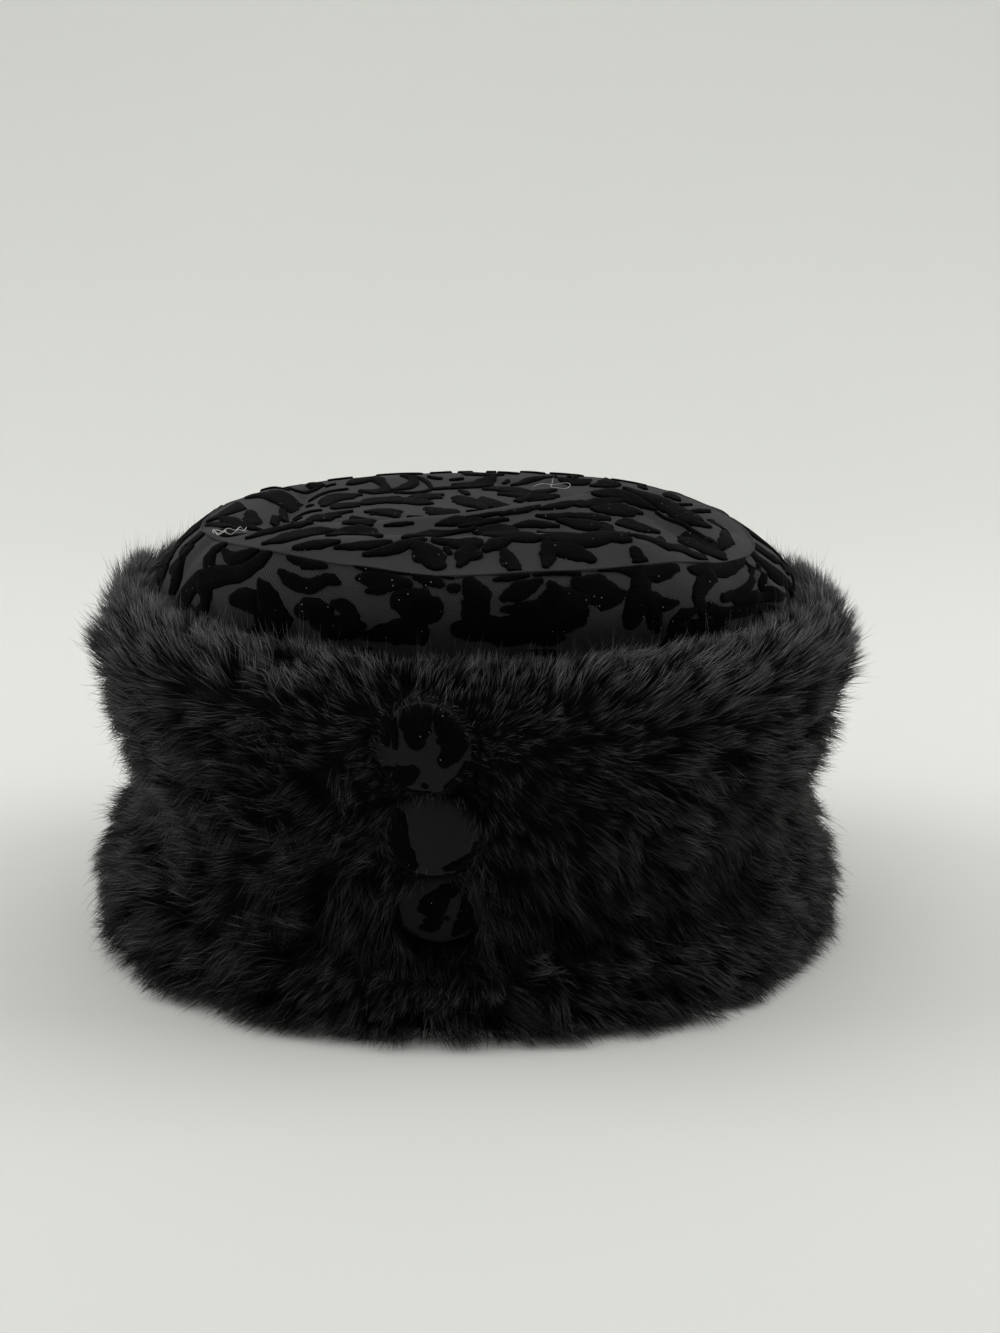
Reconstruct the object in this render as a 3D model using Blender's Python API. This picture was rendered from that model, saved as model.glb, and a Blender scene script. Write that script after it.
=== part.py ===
"""A pillbox hat: a soft cloth crown, a deep fur band round it, and three covered buttons down the front.

Metres, +Z up. The hat stands on its open rim, with its front towards -Y and the wearer's left at +X.
The origin is on the floor, under the middle of the hat.
"""

import functools
import math
import random
from collections import namedtuple

import bmesh
import bpy
from mathutils import Matrix, Vector

# Sizes of the whole hat
SEWN_GAP = 0.0003
CLOTH = 0.0020
HEAD_SIDE = 0.0900
HEAD_FRONT = 0.0875
SQUARENESS = 2.25
LEDGE_HEIGHT = 0.1050

# A section is one level of a soft form: its height and its reach from the middle, at the four sides.
Section = namedtuple("Section", "z_front z_back z_left z_right front back left right")

# The outer form of the fur, from the hem on the floor up to where it tucks in beside the crown
FUR_SECTIONS = {
    "hem": Section(0.0000, 0.0000, 0.0000, 0.0000, 0.1145, 0.1120, 0.1160, 0.1120),
    "flare": Section(0.0080, 0.0100, 0.0100, 0.0100, 0.1155, 0.1150, 0.1215, 0.1165),
    "waist": Section(0.0250, 0.0480, 0.0500, 0.0480, 0.1015, 0.1070, 0.1105, 0.1090),
    "chest": Section(0.0580, 0.0740, 0.0740, 0.0740, 0.1100, 0.1110, 0.1155, 0.1155),
    "bulge": Section(0.0880, 0.0930, 0.0950, 0.0940, 0.1155, 0.1150, 0.1195, 0.1200),
    "shoulder": Section(0.1045, 0.1070, 0.1080, 0.1080, 0.1110, 0.1105, 0.1150, 0.1155),
    "crest": Section(0.1105, 0.1120, 0.1125, 0.1120, 0.1040, 0.1035, 0.1080, 0.1085),
    "tuck": Section(0.1052, 0.1055, 0.1055, 0.1055, 0.0975, 0.0975, 0.1005, 0.1010),
}

# A crease runs from one plan angle and height to another. The front is 0 degrees and the right is 90.
Crease = namedtuple("Crease", "degrees0 z0 depth0 degrees1 z1 depth1 width")
FUR_CREASES = {
    "left_pinch": Crease(-86, 0.0560, 0.0035, -40, 0.0200, 0.0026, 0.0110),
    "right_pinch": Crease(86, 0.0520, 0.0040, 50, 0.0150, 0.0036, 0.0100),
}
FUR_COLUMNS = 112
LOCK_COLUMNS = 4
LOCK_RINGS = 3
LOCK_ROWS = 9
LOCK_RELIEF = 0.0064
LOCK_DROP = 0.0056
LOCK_SIDE_LEAN = 0.0028
LOCK_SINK = 0.38
LOCK_SHAPE_ACROSS = (0.0, 0.62, 1.0, 0.62)
LOCK_SHAPE_ALONG = (1.0, 0.56, 0.08)
LOCK_SEED = 7
ROW_WAVE = 0.018
HEM_STEP = 0.0010

# The cloth wall of the crown, from its foot inside the fur up to the seam with the tip
SIDE_SECTIONS = {
    "foot": Section(0.1053, 0.1053, 0.1053, 0.1053, 0.0935, 0.0935, 0.0960, 0.0960),
    "fold": Section(0.1120, 0.1120, 0.1105, 0.1090, 0.0950, 0.0950, 0.1000, 0.1005),
    "puff": Section(0.1190, 0.1190, 0.1170, 0.1145, 0.0995, 0.0990, 0.0985, 0.1010),
    "turn": Section(0.1255, 0.1265, 0.1250, 0.1195, 0.0990, 0.0985, 0.0940, 0.0965),
    "seam": Section(0.1300, 0.1316, 0.1310, 0.1245, 0.0960, 0.0955, 0.0865, 0.0890),
}
SIDE_COLUMNS = 44
SIDE_RINGS = 6

# How far the seam stands above its section, by plan angle. The left front corner is pushed up.
SEAM_LIFTS = {
    -180: 0.0, -115: 0.0, -80: 0.0018, -60: 0.0044, -36: 0.0042, -20: 0.0022, -5: 0.0002,
    15: 0.0016, 35: 0.0028, 55: 0.0004, 80: 0.0, 110: 0.0006, 140: 0.0012, 180: 0.0,
}

# The tip of the crown, a cloth panel that has slumped into folds
TIP_COLUMNS = 44
TIP_SHARES = (0.0, 0.15, 0.29, 0.42, 0.54, 0.65, 0.75, 0.84, 0.92, 0.97, 1.0)
TIP_MIDDLE = 0.1310
TIP_PUFF = 0.0027
TIP_PUFF_WIDTH = 0.11

# A fold runs straight from one point to another, and lifts the cloth by one amount there and another here
Fold = namedtuple("Fold", "x0 y0 lift0 x1 y1 lift1 width")
TIP_FOLDS = {
    "ridge_left": Fold(-0.080, -0.036, 0.0016, -0.027, -0.034, 0.0012, 0.0120),
    "ridge_middle": Fold(-0.027, -0.034, 0.0012, 0.010, -0.014, 0.0022, 0.0120),
    "ridge_rise": Fold(0.010, -0.014, 0.0022, 0.042, 0.013, 0.0058, 0.0115),
    "ridge_fall": Fold(0.042, 0.013, 0.0058, 0.060, -0.022, 0.0036, 0.0100),
    "ridge_corner": Fold(0.060, -0.022, 0.0036, 0.078, -0.052, 0.0014, 0.0090),
    "valley_left": Fold(-0.060, -0.004, -0.0026, -0.005, 0.012, -0.0038, 0.0120),
    "valley_right": Fold(-0.005, 0.012, -0.0038, 0.040, 0.044, -0.0056, 0.0130),
    "corner_valley": Fold(0.062, 0.020, -0.0044, 0.080, -0.014, -0.0040, 0.0085),
    "back_left_tuck": Fold(-0.060, -0.006, -0.0026, -0.048, 0.048, -0.0030, 0.0065),
    "back_swell": Fold(-0.030, 0.062, 0.0018, 0.020, 0.072, 0.0012, 0.0150),
}

# The covered buttons, sewn through the fur one under the other. The face turns up and left by degrees.
Button = namedtuple("Button", "x y z face_up face_left")
BUTTONS = {
    "button_upper": Button(-0.0124, -0.1125, 0.0862, -5.0, 5.0),
    "button_middle": Button(-0.0106, -0.1072, 0.0598, -13.0, 5.0),
    "button_lower": Button(-0.0094, -0.0965, 0.0348, -24.0, 4.5),
}
BUTTON_RADIUS = 0.0130
BUTTON_RIM = 0.0018
BUTTON_DOME = 0.0046
BUTTON_SIDES = 26
DOME_STEPS = 5
SHANK_RADIUS = 0.0032
SHANK_LENGTH = 0.0030
POCKET_GAP = 0.00035
POCKET_BEND = 0.0034
POCKET_REACH = 0.0300


def start_empty():
    for thing in list(bpy.data.objects):
        bpy.data.objects.remove(thing)


def cloth_material(name, colour, roughness):
    material = bpy.data.materials.new(name)
    material.use_nodes = True
    shader = material.node_tree.nodes["Principled BSDF"]
    shader.inputs["Base Color"].default_value = (*colour, 1.0)
    shader.inputs["Roughness"].default_value = roughness
    shader.inputs["Metallic"].default_value = 0.0
    return material


def add_object(name, mesh, material):
    thing = bpy.data.objects.new(name, mesh)
    bpy.context.scene.collection.objects.link(thing)
    mesh.materials.append(material)
    return thing


@functools.lru_cache(maxsize=None)
def plan_point(section, angle):
    """The point of a section at this plan angle: 0 is the front, and a quarter turn is the right-hand side."""
    across, ahead = math.sin(angle), math.cos(angle)
    side = section.right if across > 0 else section.left
    end = section.front if ahead > 0 else section.back
    reach = (abs(across / side) ** SQUARENESS + abs(ahead / end) ** SQUARENESS) ** (-1 / SQUARENESS)
    side_height = section.z_right if across > 0 else section.z_left
    end_height = section.z_front if ahead > 0 else section.z_back
    height = side_height * across**2 + end_height * ahead**2
    return Vector((across * reach, -ahead * reach, height))


def between(points, place):
    """A smooth curve through the points, where place runs from 0 at the first to 1 at the last."""
    spans = len(points) - 1
    span = min(int(place * spans), spans - 1)
    t = place * spans - span
    before = points[max(span - 1, 0)]
    start, end = points[span], points[span + 1]
    after = points[min(span + 2, spans)]
    bend = (end - before) * (t - 2 * t**2 + t**3) + (after - start) * (t**3 - t**2)
    return start + (end - start) * (3 * t**2 - 2 * t**3) + bend * 0.5


def even_places(sections, count):
    """Places along a form's profile that stand the same distance apart, measured half way round to the side."""
    corner = math.radians(45)
    rows = [plan_point(section, corner) for section in sections.values()]
    fine = 400
    lengths = [0.0]
    for step in range(fine):
        stride = between(rows, (step + 1) / fine) - between(rows, step / fine)
        lengths.append(lengths[-1] + stride.length)
    places, step = [], 0
    for ring in range(count + 1):
        wanted = lengths[-1] * ring / count
        while step < fine and lengths[step] < wanted:
            step += 1
        places.append(step / fine)
    return places


def form_point(sections, angle, place):
    return between([plan_point(section, angle) for section in sections.values()], place)


def form_normal(sections, angle, place):
    turn, climb = 0.01, 0.005
    low, high = max(place - climb, 0), min(place + climb, 1)
    round_it = form_point(sections, angle + turn, place) - form_point(sections, angle - turn, place)
    up_it = form_point(sections, angle, high) - form_point(sections, angle, low)
    return round_it.cross(up_it).normalized()


def skin(name, columns, rows, wraps, material):
    """One closed skin. Each row is a function of the plan angle's column that gives a point.

    The last row meets the first where the skin wraps. Otherwise the first and the last row are poles.
    """
    bands = len(rows) if wraps else len(rows) - 1
    sheet = bmesh.new()
    bmesh.ops.create_grid(sheet, x_segments=columns, y_segments=bands, size=0.5)
    for vertex in sheet.verts:
        column = round((vertex.co.x + 0.5) * columns) % columns
        row = round((vertex.co.y + 0.5) * bands) % len(rows)
        vertex.co = rows[row](column)
    bmesh.ops.remove_doubles(sheet, verts=sheet.verts, dist=1e-7)
    bmesh.ops.recalc_face_normals(sheet, faces=sheet.faces)
    mesh = bpy.data.meshes.new(name)
    sheet.to_mesh(mesh)
    sheet.free()
    mesh.shade_smooth()
    mesh.set_sharp_from_angle(angle=math.radians(50))
    return add_object(name, mesh, material)


def turn_of(column, columns):
    return 2 * math.pi * column / columns


def crease_depth(spot, angle):
    """How deep the creases press in at this spot of the fur's form."""
    depth = 0.0
    for crease in FUR_CREASES.values():
        start = math.radians(crease.degrees0)
        reach = math.hypot(spot.x, spot.y)
        run_round = math.radians(crease.degrees1 - crease.degrees0) * reach
        run_up = crease.z1 - crease.z0
        away_round = math.remainder(angle - start, 2 * math.pi) * reach
        away_up = spot.z - crease.z0
        share = (away_round * run_round + away_up * run_up) / (run_round**2 + run_up**2)
        share = min(max(share, 0.0), 1.0)
        away = math.hypot(away_round - share * run_round, away_up - share * run_up)
        here = crease.depth0 + (crease.depth1 - crease.depth0) * share
        depth += here * math.exp(-((away / crease.width) ** 2))
    return depth


def wavy(place, angle):
    """The place of a row of locks, which wanders up and down round the hat."""
    wander = math.sin(3 * angle + 1.0) + 0.8 * math.sin(7 * angle + 4.0) + 0.6 * math.sin(11 * angle)
    return place + ROW_WAVE * 4 * place * (1 - place) * wander


def lock_table():
    """How long each lock of fur is, and how far it leans to one side, row by row."""
    draw = random.Random(LOCK_SEED)
    locks_round = FUR_COLUMNS // LOCK_COLUMNS
    return [
        [(draw.uniform(0.72, 1.15), draw.uniform(-1.0, 1.0)) for _ in range(locks_round)]
        for _ in range(LOCK_ROWS)
    ]


def fur_row(ring, places, locks):
    """A ring of the fur's outer skin, where overlapping locks stand out of it and hang down."""
    lock_row = min(ring // LOCK_RINGS, LOCK_ROWS - 1)
    along = LOCK_SHAPE_ALONG[ring % LOCK_RINGS]
    level = places[ring]
    fade = min(1.0, 4.0 * (1 - level), 0.35 + 8 * level)
    hang = max(0.0, 1.0 - 1.15 * level)

    def point(column):
        angle = turn_of(column, FUR_COLUMNS)
        place = wavy(level, angle)
        shifted = column + (lock_row % 2) * LOCK_COLUMNS // 2
        length, lean = locks[lock_row][(shifted // LOCK_COLUMNS) % len(locks[lock_row])]
        lift = along * LOCK_SHAPE_ACROSS[shifted % LOCK_COLUMNS] * length * fade
        out = form_normal(FUR_SECTIONS, angle, place)
        side = Vector((math.cos(angle), math.sin(angle), 0.0))
        spot = form_point(FUR_SECTIONS, angle, place)
        spot -= out * crease_depth(spot, angle)
        spot += out * LOCK_RELIEF * (lift - LOCK_SINK * fade)
        spot += side * LOCK_SIDE_LEAN * lean * lift
        spot.z -= LOCK_DROP * hang * lift
        spot.z = max(spot.z, HEM_STEP * ring)
        return spot

    return point


def head_wall(height):
    """The inner face of the band, which a head goes into."""
    section = Section(height, height, height, height, HEAD_FRONT, HEAD_FRONT, HEAD_SIDE, HEAD_SIDE)
    return lambda column: plan_point(section, turn_of(column, FUR_COLUMNS))


def fur_band():
    """The backing and its fur, which is one sewn ring with the crown's foot standing on its inner ledge."""
    rings = LOCK_ROWS * LOCK_RINGS
    places = even_places(FUR_SECTIONS, rings)
    locks = lock_table()
    hem = FUR_SECTIONS["hem"]
    tuck = FUR_SECTIONS["tuck"]
    ledge = tuck._replace(z_front=LEDGE_HEIGHT, z_back=LEDGE_HEIGHT, z_left=LEDGE_HEIGHT, z_right=LEDGE_HEIGHT)
    rows = [lambda column: plan_point(hem, turn_of(column, FUR_COLUMNS))]
    rows += [fur_row(ring, places, locks) for ring in range(1, rings)]
    rows.append(lambda column: plan_point(ledge, turn_of(column, FUR_COLUMNS)))
    rows.append(head_wall(LEDGE_HEIGHT))
    rows.append(head_wall(0.0))
    fur = cloth_material("black_fur", (0.012, 0.012, 0.013), 0.85)
    return skin("fur_band", FUR_COLUMNS, rows, True, fur)


def seam_lift(angle):
    """The seam's lift at a plan angle, eased from one entry of its table to the next."""
    degrees = math.degrees(math.remainder(angle, 2 * math.pi))
    stops = list(SEAM_LIFTS.items())
    for (left, lift), (right, next_lift) in zip(stops, stops[1:]):
        if left <= degrees <= right:
            t = (degrees - left) / (right - left)
            return lift + (next_lift - lift) * t * t * (3 - 2 * t)
    return 0.0


def side_point(angle, place):
    """A point on the outer face of the crown's wall, where place is 0 at its foot and 1 at the seam."""
    spot = form_point(SIDE_SECTIONS, angle, place)
    spot.z += seam_lift(angle) * place**2
    return spot


def side_row(place, inward):
    """A ring of the crown's wall, on its outer face or one cloth's thickness inside it."""

    def point(column):
        angle = turn_of(column, SIDE_COLUMNS)
        out = form_normal(SIDE_SECTIONS, angle, place)
        spot = side_point(angle, place) - out * inward
        spot.z = max(spot.z, LEDGE_HEIGHT + SEWN_GAP)
        return spot

    return point


def crown_side(cloth):
    places = even_places(SIDE_SECTIONS, SIDE_RINGS)
    rows = [side_row(place, 0.0) for place in places]
    rows += [side_row(place, CLOTH) for place in reversed(places)]
    return skin("crown_side", SIDE_COLUMNS, rows, True, cloth)


def fold_lift(fold, x, y):
    """How far one fold lifts the cloth at this point of the tip."""
    run_x, run_y = fold.x1 - fold.x0, fold.y1 - fold.y0
    share = ((x - fold.x0) * run_x + (y - fold.y0) * run_y) / (run_x**2 + run_y**2)
    share = min(max(share, 0.0), 1.0)
    away = math.hypot(x - fold.x0 - share * run_x, y - fold.y0 - share * run_y)
    lift = fold.lift0 + (fold.lift1 - fold.lift0) * share
    return lift * math.exp(-((away / fold.width) ** 2))


def tip_point(angle, share):
    """A point of the tip's upper face, where share is 0 in the middle and 1 at the seam."""
    out = form_normal(SIDE_SECTIONS, angle, 1.0)
    seam = side_point(angle, 1.0) + out.cross(round_the_hat(angle)) * SEWN_GAP
    x, y = seam.x * share, seam.y * share
    base = TIP_MIDDLE + (seam.z - TIP_MIDDLE) * share**2
    inside = 1 - share**6
    puff = TIP_PUFF * (1 - math.exp(-(1 - share) / TIP_PUFF_WIDTH))
    lifts = [fold_lift(fold, x, y) for fold in TIP_FOLDS.values()]
    return Vector((x, y, base + puff + (max(lifts) + min(lifts)) * inside))


def round_the_hat(angle):
    return Vector((math.cos(angle), math.sin(angle), 0.0))


def tip_row(share, inward):
    """A ring of the tip, on its upper face or one cloth's thickness under it."""
    step = 0.01

    def point(column):
        angle = turn_of(column, TIP_COLUMNS)
        spot = tip_point(angle, share)
        if share == 0:
            return spot - Vector((0.0, 0.0, inward))
        if share == 1:
            return spot - form_normal(SIDE_SECTIONS, angle, 1.0) * inward
        outer, inner = min(share + step, 1.0), max(share - step, 0.0)
        out_it = tip_point(angle, outer) - tip_point(angle, inner)
        across = Vector((out_it.x, out_it.y, 0.0)).length
        slope = Vector((-out_it.z * math.sin(angle), out_it.z * math.cos(angle), across)).normalized()
        return spot - slope * inward

    return point


def crown_tip(cloth):
    """The top panel, one cloth thick, with its edge on the wall's top edge."""
    rows = [tip_row(share, 0.0) for share in TIP_SHARES]
    rows += [tip_row(share, CLOTH) for share in reversed(TIP_SHARES)]
    return skin("crown_tip", TIP_COLUMNS, rows, False, cloth)


def turned(name, profile, material):
    """A solid turned about its own Z axis from a profile of (radius, height) points that starts and ends on the axis."""
    shape = bmesh.new()
    points = [shape.verts.new((radius, 0.0, height)) for radius, height in profile]
    edges = [shape.edges.new(pair) for pair in zip(points, points[1:])]
    bmesh.ops.spin(
        shape,
        geom=points + edges,
        cent=(0, 0, 0),
        axis=(0, 0, 1),
        angle=2 * math.pi,
        steps=BUTTON_SIDES,
        use_merge=True,
    )
    bmesh.ops.remove_doubles(shape, verts=shape.verts, dist=1e-6)
    bmesh.ops.recalc_face_normals(shape, faces=shape.faces)
    mesh = bpy.data.meshes.new(name)
    shape.to_mesh(mesh)
    shape.free()
    mesh.shade_smooth()
    mesh.set_sharp_from_angle(angle=math.radians(40))
    return add_object(name, mesh, material)


def button_profile():
    """Shank, flat back, rounded rim and dome, from the back to the front."""
    profile = [(0.0, -SHANK_LENGTH), (SHANK_RADIUS, -SHANK_LENGTH), (SHANK_RADIUS, 0.0)]
    profile += [(BUTTON_RADIUS - 0.0008, 0.0), (BUTTON_RADIUS, 0.0007)]
    for step in range(DOME_STEPS + 1):
        turn = math.radians(90) * step / DOME_STEPS
        height = BUTTON_RIM + BUTTON_DOME * math.sin(turn)
        profile.append((BUTTON_RADIUS * math.cos(turn), height))
    profile[-1] = (0.0, BUTTON_RIM + BUTTON_DOME)
    return profile


def pocket_profile():
    """The room that a button and its shank press into the fur."""
    return [
        (0.0, -SHANK_LENGTH - POCKET_GAP),
        (SHANK_RADIUS + POCKET_GAP, -SHANK_LENGTH - POCKET_GAP),
        (SHANK_RADIUS + POCKET_GAP, -POCKET_GAP),
        (BUTTON_RADIUS + POCKET_GAP, -POCKET_GAP),
        (BUTTON_RADIUS + POCKET_GAP, POCKET_BEND),
        (BUTTON_RADIUS + POCKET_GAP, POCKET_REACH),
        (0.0, POCKET_REACH),
    ]


def way_to_face(button):
    """Turns a shape's own +Z to the way that its button faces."""
    faces_ahead = Matrix.Rotation(math.radians(90 - button.face_up), 4, "X")
    faces_aside = Matrix.Rotation(math.radians(-button.face_left), 4, "Z")
    return faces_aside @ faces_ahead


def stand_on_front(thing, button):
    thing.matrix_world = Matrix.Translation((button.x, button.y, button.z)) @ way_to_face(button)


def open_straight_ahead(pocket, button):
    """Moves the pocket's mouth so that its walls run to the front, level with the floor."""
    ahead = way_to_face(button).inverted() @ Vector((0.0, -1.0, 0.0))
    for vertex in pocket.data.vertices:
        if vertex.co.z > POCKET_REACH / 2:
            vertex.co.z -= POCKET_REACH
            vertex.co += ahead * POCKET_REACH


def buttons(fur, cloth):
    for name, button in BUTTONS.items():
        stand_on_front(turned(name, button_profile(), cloth), button)
        pocket = turned("pocket_of_" + name, pocket_profile(), cloth)
        open_straight_ahead(pocket, button)
        stand_on_front(pocket, button)
        pocket.hide_render = True
        pocket.display_type = "WIRE"
        cut = fur.modifiers.new(pocket.name, "BOOLEAN")
        cut.operation = "DIFFERENCE"
        cut.solver = "MANIFOLD"
        cut.object = pocket


def build_hat():
    start_empty()
    cloth = cloth_material("patterned_velvet", (0.030, 0.030, 0.033), 0.70)
    fur = fur_band()
    crown_side(cloth)
    crown_tip(cloth)
    buttons(fur, cloth)


build_hat()
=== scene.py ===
"""Pillbox hat: a deep fur band round a soft crown of patterned velvet, with three covered buttons at the front."""

import math
from collections import namedtuple

import bmesh
import bpy
import numpy as np
from mathutils import Matrix, Vector, kdtree


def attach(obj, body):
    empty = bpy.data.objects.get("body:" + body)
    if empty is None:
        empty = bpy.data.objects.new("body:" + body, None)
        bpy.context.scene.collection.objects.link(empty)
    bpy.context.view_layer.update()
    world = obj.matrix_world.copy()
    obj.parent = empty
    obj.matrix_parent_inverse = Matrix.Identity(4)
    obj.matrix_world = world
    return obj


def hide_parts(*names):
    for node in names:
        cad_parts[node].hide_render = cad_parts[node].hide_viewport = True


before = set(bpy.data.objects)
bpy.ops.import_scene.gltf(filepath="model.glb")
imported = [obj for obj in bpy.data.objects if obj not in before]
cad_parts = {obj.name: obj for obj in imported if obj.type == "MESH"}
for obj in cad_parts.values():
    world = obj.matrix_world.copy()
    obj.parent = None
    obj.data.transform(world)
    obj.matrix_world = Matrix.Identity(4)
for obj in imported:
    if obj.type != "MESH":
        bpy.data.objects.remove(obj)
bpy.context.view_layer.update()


# The fur band's backing: a knitted ground with its dense, short black undercoat, sewn into a ring and turned
# over a stiff inner wall that is bound off in black lining cloth. The band is waisted low down, it swells to
# the crest, and two soft pinches cross it where it is eased to the head. It stands on its hem.
Section = namedtuple("Section", "z_front z_back z_left z_right front back left right")
FUR_SECTIONS = {
    "hem": Section(0.0000, 0.0000, 0.0000, 0.0000, 0.1145, 0.1120, 0.1160, 0.1120),
    "flare": Section(0.0080, 0.0100, 0.0100, 0.0100, 0.1155, 0.1150, 0.1215, 0.1165),
    "roll": Section(0.0165, 0.0300, 0.0330, 0.0300, 0.1085, 0.1135, 0.1195, 0.1150),
    "waist": Section(0.0250, 0.0500, 0.0530, 0.0530, 0.1015, 0.1070, 0.1105, 0.1085),
    "chest": Section(0.0580, 0.0740, 0.0740, 0.0740, 0.1100, 0.1110, 0.1155, 0.1155),
    "bulge": Section(0.0880, 0.0930, 0.0950, 0.0940, 0.1155, 0.1150, 0.1195, 0.1200),
    "shoulder": Section(0.1015, 0.1070, 0.1095, 0.1065, 0.1110, 0.1105, 0.1150, 0.1155),
    "crest": Section(0.1072, 0.1115, 0.1152, 0.1118, 0.1040, 0.1035, 0.1080, 0.1085),
    "tuck": Section(0.1050, 0.1055, 0.1065, 0.1056, 0.0975, 0.0975, 0.1005, 0.1010),
}
Crease = namedtuple("Crease", "degrees0 z0 depth0 degrees1 z1 depth1 width")
FUR_CREASES = {
    "left_pinch": Crease(-86, 0.0560, 0.0035, -40, 0.0200, 0.0026, 0.0110),
    "right_pinch": Crease(86, 0.0520, 0.0040, 50, 0.0150, 0.0036, 0.0100),
}
SQUARENESS = 2.25
BAND_RADIUS = 0.115
TURN_STEP = 0.01
CLIMB_STEP = 0.004
HEAD_SIDE = 0.0900
HEAD_FRONT = 0.0875
LEDGE_HEIGHT = 0.1050
PILE_END, LEDGE_END, LINING_END = 0.6, 0.7, 0.92
UNDERCOAT_DEPTH = 0.0075
UNDERCOAT_THINS = (0.80, 0.99)
HEM_GAP = 0.0004
SEWN_SHUT = 2e-6
BACKING_ROUND = 0.11
BACKING_GIRTH = 0.25


def plan_ring(section, angles):
    """Points of one level oval of the hat. Angle 0 is the front, and a quarter turn is the wearer's left."""
    across, ahead = np.sin(angles), np.cos(angles)
    side = np.where(across > 0, section.right, section.left)
    end = np.where(ahead > 0, section.front, section.back)
    reach = (np.abs(across / side) ** SQUARENESS + np.abs(ahead / end) ** SQUARENESS) ** (-1 / SQUARENESS)
    side_height = np.where(across > 0, section.z_right, section.z_left)
    end_height = np.where(ahead > 0, section.z_front, section.z_back)
    height = side_height * across**2 + end_height * ahead**2
    return np.stack([across * reach, -ahead * reach, height], axis=-1)


def form_of(sections, angles, places):
    """The smooth form through a stack of ovals, at each angle and at each place from 0, the lowest, to 1."""
    rings = np.stack([plan_ring(section, angles) for section in sections.values()])
    spans = len(rings) - 1
    span = np.minimum((places * spans).astype(int), spans - 1)
    t = (places * spans - span)[..., None]
    pick = np.arange(len(angles))
    before, start = rings[np.maximum(span - 1, 0), pick], rings[span, pick]
    end, after = rings[span + 1, pick], rings[np.minimum(span + 2, spans), pick]
    bend = (end - before) * (t - 2 * t**2 + t**3) + (after - start) * (t**3 - t**2)
    return start + (end - start) * (3 * t**2 - 2 * t**3) + bend * 0.5


def unit(vectors):
    return vectors / np.maximum(np.linalg.norm(vectors, axis=-1, keepdims=True), 1e-9)


def fur_form(angles, places):
    """The fur's outer form with its pinches, and the way that it faces."""
    spots = form_of(FUR_SECTIONS, angles, places)
    turned = form_of(FUR_SECTIONS, angles + TURN_STEP, places)
    climbed = form_of(FUR_SECTIONS, angles, np.minimum(places + CLIMB_STEP, 1.0))
    below = form_of(FUR_SECTIONS, angles, np.maximum(places - CLIMB_STEP, 0.0))
    facing = unit(np.cross(turned - spots, climbed - below))
    degrees = np.degrees((angles + math.pi) % (2 * math.pi) - math.pi)
    depth = np.zeros(len(angles))
    for crease in FUR_CREASES.values():
        run_x = math.radians(crease.degrees1 - crease.degrees0) * BAND_RADIUS
        run_z = crease.z1 - crease.z0
        x = np.radians(degrees - crease.degrees0) * BAND_RADIUS
        z = spots[:, 2] - crease.z0
        along = np.clip((x * run_x + z * run_z) / (run_x**2 + run_z**2), 0, 1)
        away = np.hypot(x - along * run_x, z - along * run_z)
        deepest = crease.depth0 + (crease.depth1 - crease.depth0) * along
        depth += deepest * np.exp(-((away / crease.width) ** 2))
    return spots - facing * depth[:, None], facing


def ease(low, high, values):
    """From 0 at the low value to 1 at the high one, with soft ends."""
    t = np.clip((values - low) / (high - low), 0, 1)
    return t * t * (3 - 2 * t)


def undercoat(angles, places):
    """The backing's outer face: the fur's form, let in by the depth of the pile, less so towards the crown."""
    spots, facing = fur_form(angles, places)
    depth = UNDERCOAT_DEPTH * (1 - 0.93 * ease(*UNDERCOAT_THINS, places))
    spots = spots - facing * depth[:, None]
    spots[:, 2] = np.maximum(spots[:, 2], HEM_GAP)
    return spots


def placed(name, data):
    """A new object, put into the scene."""
    made = bpy.data.objects.new(name, data)
    bpy.context.collection.objects.link(made)
    return made


def piece_from(name, skin):
    """A new piece from a finished skin."""
    mesh = bpy.data.meshes.new(name)
    skin.to_mesh(mesh)
    skin.free()
    return placed(name, mesh)


def woven_round(name, around, rows, place_of):
    """A skin from a grid: place_of gives its points from arrays of angle and row, and the seam is sewn shut."""
    skin = bmesh.new()
    uv = skin.loops.layers.uv.new("cloth")
    bmesh.ops.create_grid(skin, x_segments=around, y_segments=rows, size=1.0)
    flat = np.array([vertex.co for vertex in skin.verts])
    angles = flat[:, 0] * math.pi
    row = (flat[:, 1] + 1) / 2
    points, laid = place_of(angles, row)
    for face in skin.faces:
        for loop in face.loops:
            loop[uv].uv = laid[loop.vert.index]
    for vertex, point in zip(skin.verts, points):
        vertex.co = point
    bmesh.ops.remove_doubles(skin, verts=skin.verts, dist=SEWN_SHUT)
    bmesh.ops.recalc_face_normals(skin, faces=skin.faces)
    for face in skin.faces:
        face.smooth = True
    return piece_from(name, skin)


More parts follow.
